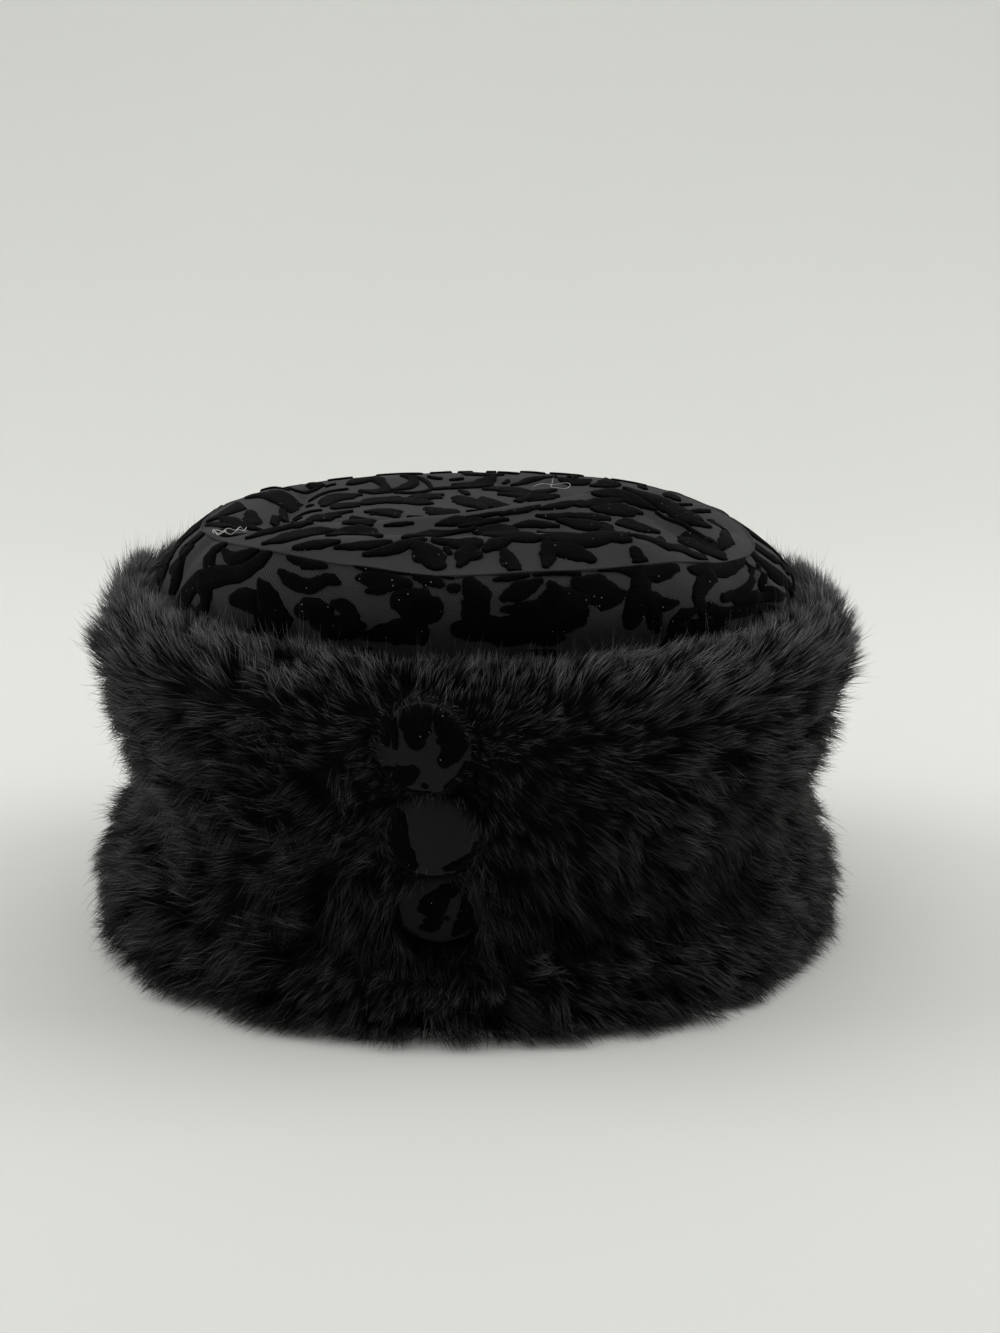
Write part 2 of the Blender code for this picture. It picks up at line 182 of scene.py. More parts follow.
def backing_ring(angles, rows):
    """One closed loop up the pile side, over the ledge, down the lining and back under the hem."""
    points = np.empty((len(angles), 3))
    pile = rows <= PILE_END
    points[pile] = undercoat(angles[pile], rows[pile] / PILE_END)
    inside = 1 / np.sqrt((np.sin(angles) / HEAD_SIDE) ** 2 + (np.cos(angles) / HEAD_FRONT) ** 2)
    top = undercoat(angles, np.ones(len(angles)))
    foot = undercoat(angles, np.zeros(len(angles)))
    ledge = np.full(len(angles), LEDGE_HEIGHT)
    lining = np.stack([np.sin(angles) * inside, -np.cos(angles) * inside, ledge], axis=-1)
    sole = lining * np.array([1, 1, 0]) + np.array([0, 0, HEM_GAP])
    for first, last, start, end in (
        (PILE_END, LEDGE_END, top, lining),
        (LEDGE_END, LINING_END, lining, sole),
        (LINING_END, 1.0, sole, foot),
    ):
        part = (rows > first) & (rows <= last + 1e-9)
        t = ((rows[part] - first) / (last - first))[:, None]
        points[part] = start[part] * (1 - t) + end[part] * t
    return points, np.stack([angles * BACKING_ROUND, rows * BACKING_GIRTH], axis=-1)


class Wire:
    """One output of a finish's nodes. Each sum on it adds a Math node."""

    def __init__(self, finish, socket):
        self.finish = finish
        self.socket = socket

    def reckon(self, operation, first, second=0.0):
        return self.finish.add("Math", {"operation": operation}, {0: first, 1: second})

    def __add__(self, other):
        return self.reckon("ADD", self, other)

    def __sub__(self, other):
        return self.reckon("SUBTRACT", self, other)

    def __rsub__(self, other):
        return self.reckon("SUBTRACT", other, self)

    def __mul__(self, other):
        return self.reckon("MULTIPLY", self, other)

    def __gt__(self, other):
        return self.reckon("GREATER_THAN", self, other)

    def sine(self):
        return self.reckon("SINE", self)

    __radd__ = __add__
    __rmul__ = __mul__


class Finish:
    """One material. What is the same all over it is set on the shader itself."""

    def __init__(self, name, **constant):
        self.material = bpy.data.materials.new(name)
        self.material.use_nodes = True
        self.tree = self.material.node_tree
        self.shader = self.tree.nodes["Principled BSDF"]
        for socket, value in constant.items():
            self.shader.inputs[socket.replace("_", " ")].default_value = value

    def put(self, value, socket):
        if isinstance(value, Wire):
            self.tree.links.new(value.socket, socket)
        else:
            socket.default_value = value

    def add(self, kind, settings=None, values=None, out=0):
        """A node of this kind, with its settings and then its values or links, given as one output."""
        node = self.tree.nodes.new("ShaderNode" + kind)
        for setting, value in (settings or {}).items():
            setattr(node, setting, value)
        for socket, value in (values or {}).items():
            self.put(value, node.inputs[socket])
        return Wire(self, node.outputs[out])

    def split(self, vector):
        """The first two numbers of a vector."""
        node = self.add("SeparateXYZ", None, {0: vector}).socket.node
        return Wire(self, node.outputs[0]), Wire(self, node.outputs[1])

    def blend(self, share, first, second):
        """A colour between two colours."""
        return self.add("Mix", {"data_type": "RGBA"}, {0: share, 6: first, 7: second}, out=2)

    def feed(self, **values):
        for socket, value in values.items():
            self.put(value, self.shader.inputs[socket.replace("_", " ")])
        return self.material


def undercoat_finish():
    finish = Finish("black_undercoat", Specular_IOR_Level=0.15)
    spot = finish.add("TexCoord", out=3)
    tuft = finish.add("TexNoise", {"noise_dimensions": "3D"}, {"Vector": spot, "Scale": 900.0, "Detail": 3.0})
    colour = finish.blend(tuft, (0.0006, 0.0006, 0.0007, 1), (0.004, 0.004, 0.0042, 1))
    bump = finish.add("Bump", None, {"Strength": 0.8, "Distance": 0.001, "Height": tuft})
    return finish.feed(Base_Color=colour, Roughness=0.9, Normal=bump)


fur_backing = woven_round("fur_backing", 200, 60, backing_ring)
fur_backing.data.materials.append(undercoat_finish())
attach(fur_backing, "root")
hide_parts("fur_band")


# The pile: long soft fibres that spring from the backing and lie in pointed locks. It is brushed out and away
# from the button column, up over the crest and down to the hem, and it is tousled on the wearer's right. Each
# quarter of the band is one piece, and each fibre is a closed spindle that tapers to its tip.
PILE_QUARTERS = {
    "fur_pile_front_right": (-90, 0, 24200, 4300),
    "fur_pile_front_left": (0, 90, 24200, 4300),
    "fur_pile_back_left": (90, 180, 21500, 3400),
    "fur_pile_back_right": (-180, -90, 21500, 3400),
}
FUR_AREA = 0.090
MOST_STRETCH = 0.24
HIGHEST_ROOT = 0.985
LOCK_SPACING = 0.0074
WISP_SPACING = 0.0029
FIBRE_RADIUS = 0.00011
PART_DEGREES = -5
PART_WIDTH = 0.045
PART_HEIGHT = 0.076
PART_RISE = 0.036
FRONT_NAP_ENDS = (75, 135)
ROUND_NAP_ENDS = (130, 180)
BACK_TURN_HEIGHT = 0.100
BACK_TURN_RISE = 0.013
TOUSLED_DEGREES, TOUSLED_SPREAD = -32, 26
TOUSLED_HEIGHT, TOUSLED_RISE = 0.06, 0.03
# Heights over which the fibres' colour is made paler towards the top of the band: painted top light.
PAINTED_TOP_LIGHT_HEIGHTS = (0.084, 0.108)
CROWN_FOOT = 0.1045
CROWN_CLEARANCE = 0.0012
CREST_TILT = 0.0022
FLOOR_CLEARANCE = 0.0006
Fibre = namedtuple("Fibre", "bends turn longest proud uneven gathered thick rises")
FIBRES = {
    "soft": Fibre([(0.52, 1.0)], 0.26, 1.05, -0.0006, 0.0010, (0.25, 0.78), (0.70, 1.20), 0.5),
    "guard": Fibre([(0.36, 1.0), (0.70, 0.9)], 0.5, 1.25, 0.0008, 0.0014, (0.0, 0.40), (0.42, 0.68), 1.0),
}
STRAY_SHARE = 0.15
Button = namedtuple("Button", "x y z face_up face_left")
BUTTONS = {
    "button_upper": Button(-0.0124, -0.1125, 0.0862, -5.0, 5.0),
    "button_middle": Button(-0.0106, -0.1072, 0.0598, -13.0, 5.0),
    "button_lower": Button(-0.0094, -0.0965, 0.0348, -24.0, 4.5),
}
BUTTON_RADIUS = 0.0130
BUTTON_RIM = 0.0018
BUTTON_DOME = 0.0046
BUTTON_OVERLAP = {"button_upper": 0.0035, "button_middle": 0.0060, "button_lower": 0.0030}
SIDE_SECTIONS = {
    "foot": Section(0.1053, 0.1053, 0.1053, 0.1053, 0.0935, 0.0935, 0.0960, 0.0960),
    "fold": Section(0.1120, 0.1120, 0.1105, 0.1090, 0.0950, 0.0950, 0.1000, 0.1005),
    "puff": Section(0.1190, 0.1190, 0.1170, 0.1145, 0.0995, 0.0990, 0.0985, 0.1010),
    "turn": Section(0.1255, 0.1265, 0.1250, 0.1195, 0.0990, 0.0985, 0.0940, 0.0965),
    "seam": Section(0.1300, 0.1316, 0.1310, 0.1245, 0.0960, 0.0955, 0.0865, 0.0890),
}


def way_to_face(button):
    """Turns what is modelled facing up so that it faces the way the button does."""
    return Matrix.Rotation(math.radians(-button.face_left), 3, "Z") @ Matrix.Rotation(
        math.radians(90 - button.face_up), 3, "X"
    )


def nap(angles, heights):
    """How far the pile is brushed round the hat and up it, at each spot."""
    degrees = np.degrees(angles)
    arc = np.radians(degrees - PART_DEGREES) * BAND_RADIUS
    front = 1 - ease(*FRONT_NAP_ENDS, np.abs(degrees))
    round_it = np.tanh(arc / PART_WIDTH) * (0.35 + 0.65 * front) * (1 - ease(*ROUND_NAP_ENDS, np.abs(degrees)))
    up_front = np.clip((heights - PART_HEIGHT) / PART_RISE, -1.15, 1.25)
    up_back = np.clip((heights - BACK_TURN_HEIGHT) / BACK_TURN_RISE, -0.80, 1.15)
    return round_it, up_front * front + (1 - front) * up_back


class Lay:
    """The roots of some fibres, and the frame that each grows in."""

    def __init__(self, angles, places):
        self.angles, self.places = angles, places
        self.form, self.facing = fur_form(angles, places)
        self.root = undercoat(angles, places)
        self.round_it = np.stack([np.cos(angles), np.sin(angles), np.zeros(len(angles))], axis=-1)
        self.round_it = unit(self.round_it - self.facing * (self.round_it * self.facing).sum(-1, keepdims=True))
        self.up_it = np.cross(self.facing, self.round_it)

    def tip(self, turn, slant, proud):
        """Where the fibre ends: along the nap, turned by an angle, and standing off the form."""
        round_share, up_share = nap(self.angles, self.form[:, 2])
        length = np.hypot(round_share, up_share)
        way = np.arctan2(up_share, round_share) + turn
        size = np.minimum(length, 1.2) * slant
        lean = self.round_it * (np.cos(way) * size)[:, None] + self.up_it * (np.sin(way) * size)[:, None]
        return self.form + lean + self.facing * proud[:, None]


def scattered(rng, count, low, high):
    """Spots spread evenly over the fur's area between two angles."""
    angles = np.empty(0)
    places = np.empty(0)
    while len(angles) < count:
        new_angles = np.radians(rng.uniform(low, high, count))
        new_places = rng.uniform(0.0, HIGHEST_ROOT, count)
        here = fur_form(new_angles, new_places)[0]
        above = fur_form(new_angles, np.minimum(new_places + CLIMB_STEP, 1.0))[0]
        stretch = np.linalg.norm(above - here, axis=-1) / CLIMB_STEP
        kept = rng.uniform(0, MOST_STRETCH, count) < stretch
        angles = np.concatenate([angles, new_angles[kept]])
        places = np.concatenate([places, new_places[kept]])
    return angles[:count], places[:count]


def spread_apart(rng, spacing, low, high):
    """Spots about one spacing apart."""
    angles, places = scattered(rng, int((high - low) / 360 * FUR_AREA / spacing**2 * 6), low, high)
    spots = fur_form(angles, places)[0]
    kept = []
    cells = {}
    for index, spot in enumerate(spots):
        cell = tuple((spot // spacing).astype(int))
        near = [
            other
            for i in (-1, 0, 1)
            for j in (-1, 0, 1)
            for k in (-1, 0, 1)
            for other in cells.get((cell[0] + i, cell[1] + j, cell[2] + k), ())
        ]
        if all(np.dot(spot - spots[other], spot - spots[other]) > (0.8 * spacing) ** 2 for other in near):
            kept.append(index)
            cells.setdefault(cell, []).append(index)
    return angles[kept], places[kept]


def nearest(centres, spots):
    """Which of the centres is nearest to each spot."""
    tree = kdtree.KDTree(len(centres))
    for index, centre in enumerate(centres):
        tree.insert(centre, index)
    tree.balance()
    return np.array([tree.find(spot)[1] for spot in spots])


def kept_clear(points, slack, lies_over=0.0, rises=0.42):
    """Fibres stand clear of the crown, of the buttons and of what the hat stands on."""
    angles = np.arctan2(points[:, 0], -points[:, 1])
    sides = [plan_ring(SIDE_SECTIONS[name], angles)[:, :2] for name in ("fold", "puff", "turn")]
    wall = np.maximum.reduce([np.hypot(*side.T) for side in sides])
    reach = np.hypot(points[:, 0], points[:, 1])
    high = points[:, 2] > CROWN_FOOT
    grown = np.where(high, np.maximum(reach, wall + CROWN_CLEARANCE), reach) / reach
    points = points * np.stack([grown, grown, np.ones(len(points))], axis=-1)
    crest = plan_ring(FUR_SECTIONS["crest"], angles)[:, 2] + CREST_TILT * np.maximum(-np.sin(angles), 0) - 0.0005
    over = np.maximum(points[:, 2] - crest, 0)
    points[:, 2] = np.minimum(points[:, 2], crest) + over * rises
    for name, button in BUTTONS.items():
        turn = np.array(way_to_face(button))
        local = (points - np.array(button[:3])) @ turn
        off = np.hypot(local[:, 0], local[:, 1])
        rim = BUTTON_RADIUS - 0.0002 - BUTTON_OVERLAP[name] * lies_over + slack * 1.6
        over = (off < rim) & (local[:, 2] > -0.0015) & (local[:, 2] < 0.03)
        local[over, :2] *= (rim[over] / np.maximum(off[over], 1e-5))[:, None]
        bulge = np.sqrt(np.clip(1 - (rim / BUTTON_RADIUS) ** 2, 0, 1))
        dome = BUTTON_RIM + 0.0005 + BUTTON_DOME * bulge + slack * 0.4
        local[over, 2] = np.maximum(local[over, 2], dome[over] * (rim[over] < BUTTON_RADIUS + 0.0004))
        points = np.where(over[:, None], local @ turn.T + np.array(button[:3]), points)
    points[:, 2] = np.maximum(points[:, 2], FLOOR_CLEARANCE + slack * 0.3)
    return points


def spindles(rings, radius, tone):
    """Closed fibres from their root, their one or two bends, and their tip, as one mesh's points, faces and UVs."""
    count = len(tone)
    bends = rings[1:-1]
    way = unit(rings[-1] - rings[0])
    side = unit(np.cross(way, np.array([0.31, 0.17, 0.93])))
    other = np.cross(way, side)
    columns = [rings[0]]
    along = [0.0]
    for number, bend in enumerate(bends):
        for third in range(3):
            turn = 2 * math.pi * third / 3
            wide = (radius * (1 - 0.35 * number))[:, None]
            columns.append(bend + (side * math.cos(turn) + other * math.sin(turn)) * wide)
            along.append((number + 1) / (len(bends) + 1))
    columns.append(rings[-1])
    along.append(1.0)
    points = np.stack(columns, axis=1)
    faces = [(1 + (i + 1) % 3, 1 + i, 0) for i in range(3)]
    for number in range(len(bends) - 1):
        low = 1 + 3 * number
        for i in range(3):
            j = (i + 1) % 3
            faces += [(low + i, low + j, low + 3 + j), (low + i, low + 3 + j, low + 3 + i)]
    last = 1 + 3 * (len(bends) - 1)
    faces += [(last + i, last + (i + 1) % 3, last + 3) for i in range(3)]
    faces = np.array(faces)
    every = faces[None] + (np.arange(count) * points.shape[1])[:, None, None]
    laid = np.empty((count, len(faces), 3, 2))
    laid[..., 0] = tone[:, None, None]
    laid[..., 1] = np.array(along)[faces][None]
    return points.reshape(-1, 3), every.reshape(-1, 3), laid.reshape(-1, 2)


def fibre_mesh(name, batches):
    """One piece from several batches of fibres."""
    offset = 0
    points, faces, laid = [], [], []
    for batch_points, batch_faces, batch_laid in batches:
        points.append(batch_points)
        faces.append(batch_faces + offset)
        laid.append(batch_laid)
        offset += len(batch_points)
    points, faces, laid = map(np.concatenate, (points, faces, laid))
    mesh = bpy.data.meshes.new(name)
    mesh.vertices.add(len(points))
    mesh.vertices.foreach_set("co", points.astype(np.float32).ravel())
    mesh.loops.add(faces.size)
    mesh.loops.foreach_set("vertex_index", faces.astype(np.int32).ravel())
    mesh.polygons.add(len(faces))
    mesh.polygons.foreach_set("loop_start", np.arange(0, faces.size, 3, dtype=np.int32))
    mesh.polygons.foreach_set("use_smooth", np.ones(len(faces), dtype=bool))
    layer = mesh.uv_layers.new(name="fibre")
    layer.data.foreach_set("uv", laid.astype(np.float32).ravel())
    mesh.update(calc_edges=True)
    mesh.validate()
    return placed(name, mesh)


def pile_of(name, low, high, soft_count, guard_count, seed):
    """One quarter's pile: fibres drawn together into wisps, and the wisps into locks."""
    rng = np.random.default_rng(seed)
    locks = Lay(*spread_apart(rng, LOCK_SPACING, low - 4, high + 4))
    count = len(locks.angles)
    aside = (np.degrees(locks.angles) - TOUSLED_DEGREES) / TOUSLED_SPREAD
    above = (locks.form[:, 2] - TOUSLED_HEIGHT) / TOUSLED_RISE
    tousled = np.exp(-(aside**2)) * np.exp(-(above**2))
    lock_turn = rng.normal(0, 0.27 + 0.70 * tousled, count)
    lock_slant = rng.uniform(0.0085, 0.0125, count)
    lock_proud = rng.normal(0.0024, 0.0014, count)
    lock_tone = rng.normal(0, 1, count)
    lock_tip = locks.tip(lock_turn, lock_slant * 1.15, lock_proud + 0.0012)
    wisps = Lay(*spread_apart(rng, WISP_SPACING, low - 2, high + 2))
    count = len(wisps.angles)
    lock = nearest(locks.form, wisps.form + rng.normal(0, 0.0012, (count, 3)))
    wisp_turn = lock_turn[lock] + rng.normal(0, 0.24, count)
    wisp_slant = lock_slant[lock] + rng.normal(0, 0.0011, count)
    wisp_proud = lock_proud[lock] + rng.normal(-0.0004, 0.0012, count)
    own = wisps.tip(wisp_turn, wisp_slant, wisp_proud)
    wisp_tip = own + (lock_tip[lock] - own) * rng.uniform(0.24, 0.64, count)[:, None]
    batches = []
    for kind, number in (("soft", soft_count), ("guard", guard_count)):
        fibre = FIBRES[kind]
        roots = Lay(*scattered(rng, number, low, high))
        wisp = nearest(wisps.form, roots.form + rng.normal(0, 0.0005, (number, 3)))
        turn = wisp_turn[wisp] + rng.normal(0, fibre.turn, number)
        slant = wisp_slant[wisp] * rng.uniform(0.85, fibre.longest, number)
        proud = wisp_proud[wisp] + rng.normal(fibre.proud, fibre.uneven, number)
        if kind == "guard":
            stray = rng.uniform(0, 1, number) < STRAY_SHARE
            proud += stray * rng.uniform(0.001, 0.005, number)
        own = roots.tip(turn, slant, proud)
        share = rng.uniform(*fibre.gathered, number)
        tip = own + (wisp_tip[wisp] - own) * share[:, None] + rng.normal(0, 0.00045, (number, 3))
        slack = rng.uniform(0, 0.0016, number)
        tip = kept_clear(tip, slack, lies_over=rng.uniform(0, 1, number), rises=fibre.rises)
        reach = tip - roots.root
        arch = rng.uniform(0.0008, 0.0024, number)[:, None] * roots.facing
        bends = [kept_clear(roots.root + reach * place + arch * bow, slack) for place, bow in fibre.bends]
        radius = FIBRE_RADIUS * rng.uniform(*fibre.thick, number)
        # Each fibre's tone varies at random about its lock's, and it is raised near the top of the band as painted
        # top light.
        painted_top_light = 0.19 + 0.26 * ease(*PAINTED_TOP_LIGHT_HEIGHTS, roots.form[:, 2])
        tone = np.clip(painted_top_light + 0.10 * lock_tone[lock[wisp]] + rng.normal(0, 0.28, number), 0.01, 0.99)
        batches.append(spindles([roots.root, *bends, tip], radius, tone))
    return fibre_mesh(name, batches)


def fibre_finish():
    finish = Finish("black_fur_fibre", Specular_IOR_Level=0.14)
    tone, along = finish.split(finish.add("UVMap", {"uv_map": "fibre"}))
    # The colour runs from near black at each fibre's root to pale grey at its tip: painted shade deep in the pile
    # and painted light on the tips, scaled by the fibre's tone.
    share = tone * along * along * along
    colour = finish.blend(share, (0.0003, 0.0003, 0.0003, 1), (0.310, 0.310, 0.313, 1))
    return finish.feed(Base_Color=colour, Roughness=0.62 - along * 0.12)


fur_fibre = fibre_finish()
for number, (name, quarter) in enumerate(PILE_QUARTERS.items()):
    pile = pile_of(name, *quarter, seed=20 + number)
    pile.data.materials.append(fur_fibre)
    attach(pile, "root")


# The crown's wall: a strip of dark twill with a cut velvet pattern, gathered a little into the band and sewn
# to the tip along its upper edge. It swells over the fur and leans in to the seam, which rises and falls.
SEAM_LIFTS = {
    -180: 0.0, -115: -0.0006, -80: -0.0006, -60: 0.0022, -36: 0.0036, -20: 0.0022, -5: 0.0002, 15: 0.0016,
    35: 0.0028, 55: 0.0004, 80: 0.0, 110: 0.0006, 140: 0.0012, 180: 0.0,
}
CLOTH_THICKNESS = 0.0011
CLOTH_ROUND = 0.096
CLOTH_RISE = 0.027
SEWN_GAP = 0.0003
PUCKER_AT_BAND = 0.00045
PUCKER_AT_SEAM = 0.00030
TWILL_PITCH = 0.00078
WEFT_PITCH = 0.00048
Fold = namedtuple("Fold", "x0 y0 lift0 x1 y1 lift1 width")
WALL_FOLDS = {
    "corner_left": Fold(0.096, 0.026, -0.0016, 0.071, 0.013, -0.0010, 0.0022),
    "corner_roll_left": Fold(0.095, 0.025, 0.0014, 0.080, 0.008, 0.0010, 0.0034),
    "corner_down": Fold(0.096, 0.026, -0.0018, 0.092, 0.006, -0.0012, 0.0022),
    "corner_roll_right": Fold(0.098, 0.025, 0.0014, 0.104, 0.006, 0.0012, 0.0036),
    "corner_right": Fold(0.098, 0.026, -0.0016, 0.122, 0.010, -0.0010, 0.0024),
    "left_tuck": Fold(-0.097, 0.026, -0.0014, -0.106, 0.006, -0.0010, 0.0028),
    "left_roll": Fold(-0.090, 0.025, 0.0012, -0.082, 0.012, 0.0008, 0.0044),
    "front_puff": Fold(-0.060, 0.019, 0.0006, 0.060, 0.018, 0.0010, 0.0060),
    "back_tuck": Fold(0.250, 0.026, -0.0012, 0.244, 0.008, -0.0010, 0.0030),
    "back_roll": Fold(0.262, 0.025, 0.0010, 0.256, 0.008, 0.0008, 0.0044),
}


def seam_lift(angles):
    degrees = (np.degrees(angles) + 180) % 360 - 180
    knots = sorted(SEAM_LIFTS)
    lift = np.zeros(len(angles))
    for low, high in zip(knots, knots[1:]):
        here = (degrees >= low) & (degrees <= high)
        share = ease(low, high, degrees[here])
        lift[here] = SEAM_LIFTS[low] + (SEAM_LIFTS[high] - SEAM_LIFTS[low]) * share
    return lift


def side_points(angles, places):
    """The wall's form before its folds, from its foot at place 0 to the seam at place 1."""
    spots = form_of(SIDE_SECTIONS, angles, places)
    spots[:, 2] += seam_lift(angles) * places**2
    return spots


def side_facing(angles, places):
    spots = side_points(angles, places)
    climbed = side_points(angles, np.minimum(places + 0.01, 1.0))
    below = side_points(angles, np.maximum(places - 0.01, 0.0))
    turned = side_points(angles + 0.01, places)
    return unit(np.cross(turned - spots, climbed - below))


def up_the_seam(angles):
    """The seam's points, the way that the wall faces there, and the way up over the seam."""
    ones = np.ones(len(angles))
    facing = side_facing(angles, ones)
    round_it = np.stack([np.cos(angles), np.sin(angles), np.zeros(len(angles))], axis=-1)
    return side_points(angles, ones), facing, np.cross(facing, round_it)


def wall_ripples(angles, places):
    """Fine puckers that the gathering leaves, deepest near the band and at the seam."""
    wave = np.sin(angles * 23 + 2 * np.sin(angles * 5)) * 0.6 + np.sin(angles * 41 + 1.3) * 0.4
    return wave * (PUCKER_AT_BAND * (1 - places) ** 2 + PUCKER_AT_SEAM * places**4)


def fold_lift(fold, x, y):
    """How far one fold lifts the cloth, or sinks it, at spots beside the line that it follows."""
    run_x, run_y = fold.x1 - fold.x0, fold.y1 - fold.y0
    along = np.clip(((x - fold.x0) * run_x + (y - fold.y0) * run_y) / (run_x**2 + run_y**2), 0, 1)
    away = np.hypot(x - fold.x0 - along * run_x, y - fold.y0 - along * run_y)
    return (fold.lift0 + (fold.lift1 - fold.lift0) * along) * np.exp(-((away / fold.width) ** 2))


def crown_wall(angles, rows):
    laid = np.stack([angles * CLOTH_ROUND, rows * CLOTH_RISE], axis=-1)
    folds = np.stack([fold_lift(fold, laid[:, 0], laid[:, 1]) for fold in WALL_FOLDS.values()])
    rise = (folds.max(axis=0) + folds.min(axis=0)) * (1 - rows**12) + wall_ripples(angles, rows)
    points = side_points(angles, rows) + side_facing(angles, rows) * rise[:, None]
    return points, laid


# One twill finish. Its factor sets the cloth's tone, and a darker copy made with it paints shade on the buttons.
def twill_finish(name, tone_and_painted_shade):
    finish = Finish(name, Specular_IOR_Level=0.10, Sheen_Weight=0.03, Sheen_Roughness=0.5)
    laid = finish.add("UVMap", {"uv_map": "cloth"})
    u, v = finish.split(laid)
    drift = finish.add("TexNoise", None, {"Vector": laid, "Scale": 260.0, "Detail": 2.0})
    line = ((u * 0.80 + v * 1.0) * (2 * math.pi / TWILL_PITCH) + drift * 2.0).sine() * 0.5 + 0.5
    weft = ((u * 1.0 - v * 0.55) * (2 * math.pi / WEFT_PITCH)).sine() * 0.5 + 0.5
    cloud = finish.add("TexNoise", None, {"Vector": laid, "Scale": 34.0, "Detail": 4.0})
    share = line * 0.68 + weft * 0.10 + cloud * 0.34 - 0.04
    dark = (0.004 * tone_and_painted_shade, 0.0041 * tone_and_painted_shade, 0.0045 * tone_and_painted_shade, 1)
    light = (0.030 * tone_and_painted_shade, 0.030 * tone_and_painted_shade, 0.0328 * tone_and_painted_shade, 1)
    colour = finish.blend(share, dark, light)
    bump = finish.add("Bump", None, {"Strength": 0.5, "Distance": 0.0002, "Height": line + weft * 0.5})
    return finish.feed(Base_Color=colour, Roughness=0.78, Normal=bump)


dark_twill = twill_finish("dark_twill", 1.36)


def as_cloth(piece):
    thick = piece.modifiers.new("thickness", "SOLIDIFY")
    thick.thickness = CLOTH_THICKNESS
    thick.offset = -1.0
    piece.data.materials.append(dark_twill)
    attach(piece, "root")


crown_wall_cloth = woven_round("crown_wall_cloth", 360, 24, crown_wall)
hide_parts("crown_side")
as_cloth(crown_wall_cloth)


# The crown's tip: an oval of the same cloth, sewn to the wall all round and stuffed out by a soft interlining.
# It is slack, so it has sunk in the middle and stands in a crooked ridge from side to side.
TIP_MIDDLE = 0.1310
TIP_PUFF = 0.0027
TIP_PUFF_WIDTH = 0.11
TIP_FOLDS = {
    "ridge_start": Fold(-0.0665, -0.060, 0.0006, -0.0419, -0.055, 0.0030, 0.0120),
    "ridge_left": Fold(-0.0419, -0.055, 0.0030, -0.0214, -0.052, 0.0044, 0.0150),
    "ridge_front": Fold(-0.0214, -0.052, 0.0044, 0.0082, -0.050, 0.0071, 0.0180),
    "ridge_rise": Fold(0.0082, -0.050, 0.0071, 0.0264, -0.035, 0.0078, 0.0190),
    "ridge_top": Fold(0.0264, -0.035, 0.0078, 0.0461, -0.010, 0.0086, 0.0180),
    "ridge_bend": Fold(0.0461, -0.010, 0.0086, 0.0593, -0.005, 0.0066, 0.0140),
    "ridge_fall": Fold(0.0593, -0.005, 0.0066, 0.0706, -0.020, 0.0050, 0.0120),
    "ridge_corner": Fold(0.0706, -0.020, 0.0050, 0.0789, -0.045, 0.0012, 0.0090),
    "front_puff": Fold(-0.0450, -0.079, 0.0040, 0.0480, -0.074, 0.0058, 0.0140),
    "back_left_puff": Fold(-0.0770, -0.012, 0.0022, -0.0710, 0.044, 0.0028, 0.0090),
    "back_swell": Fold(-0.0300, 0.062, 0.0016, 0.0200, 0.072, 0.0012, 0.0150),
    "valley_left": Fold(-0.0660, -0.034, -0.0036, -0.0200, -0.028, -0.0050, 0.0110),
    "valley_middle": Fold(-0.0200, -0.028, -0.0050, 0.0110, -0.020, -0.0066, 0.0120),
    "valley_right": Fold(0.0110, -0.020, -0.0066, 0.0310, 0.016, -0.0064, 0.0120),
    "valley_back": Fold(0.0310, 0.016, -0.0064, 0.0610, 0.028, -0.0044, 0.0105),
    "corner_valley": Fold(0.0640, 0.026, -0.0038, 0.0800, 0.002, -0.0030, 0.0085),
    "back_left_tuck": Fold(-0.0620, -0.034, -0.0034, -0.0600, 0.058, -0.0040, 0.0060),
}
TIP_CREASES = {
    "flank_line": Fold(0.0500, -0.018, -0.0008, 0.0662, -0.035, -0.0018, 0.0028),
    "flank_end": Fold(0.0662, -0.035, -0.0018, 0.0745, -0.048, -0.0018, 0.0026),
    "corner_line": Fold(0.0640, -0.058, -0.0008, 0.0770, -0.048, -0.0016, 0.0024),
    "corner_roll": Fold(0.0720, -0.054, 0.0012, 0.0790, -0.046, 0.0012, 0.0026),
    "crest_start": Fold(-0.0214, -0.054, 0.0010, 0.0082, -0.050, 0.0013, 0.0042),
    "crest_line": Fold(0.0082, -0.050, 0.0013, 0.0461, -0.010, 0.0016, 0.0046),
    "crest_end": Fold(0.0461, -0.010, 0.0016, 0.0593, -0.005, 0.0010, 0.0042),
    "left_roll": Fold(-0.0700, -0.057, 0.0010, -0.0480, -0.052, 0.0010, 0.0034),
    "left_line": Fold(-0.0720, -0.051, -0.0014, -0.0460, -0.044, -0.0014, 0.0032),
    "tuck_line": Fold(-0.0610, -0.024, -0.0010, -0.0600, 0.052, -0.0014, 0.0026),
    "far_line": Fold(0.0000, 0.058, 0.0008, 0.0500, 0.060, 0.0008, 0.0045),
}


def tip_points(angles, shares):
    """The tip's form at each angle and at each share of the way from its middle to the seam."""
    seam, _, over_it = up_the_seam(angles)
    seam = seam + over_it * SEWN_GAP
    x, y = seam[:, 0] * shares, seam[:, 1] * shares
    base = TIP_MIDDLE + (seam[:, 2] - TIP_MIDDLE) * shares**2
    inside = 1 - shares**10
    puff = TIP_PUFF * (1 - np.exp(-(1 - shares) / TIP_PUFF_WIDTH))
    lifts = np.stack([fold_lift(fold, x, y) for fold in TIP_FOLDS.values()])
    creases = np.stack([fold_lift(fold, x, y) for fold in TIP_CREASES.values()])
    rise = (lifts.max(axis=0) + lifts.min(axis=0) + creases.max(axis=0) + creases.min(axis=0)) * inside
    return np.stack([x, y, base + puff + rise], axis=-1)


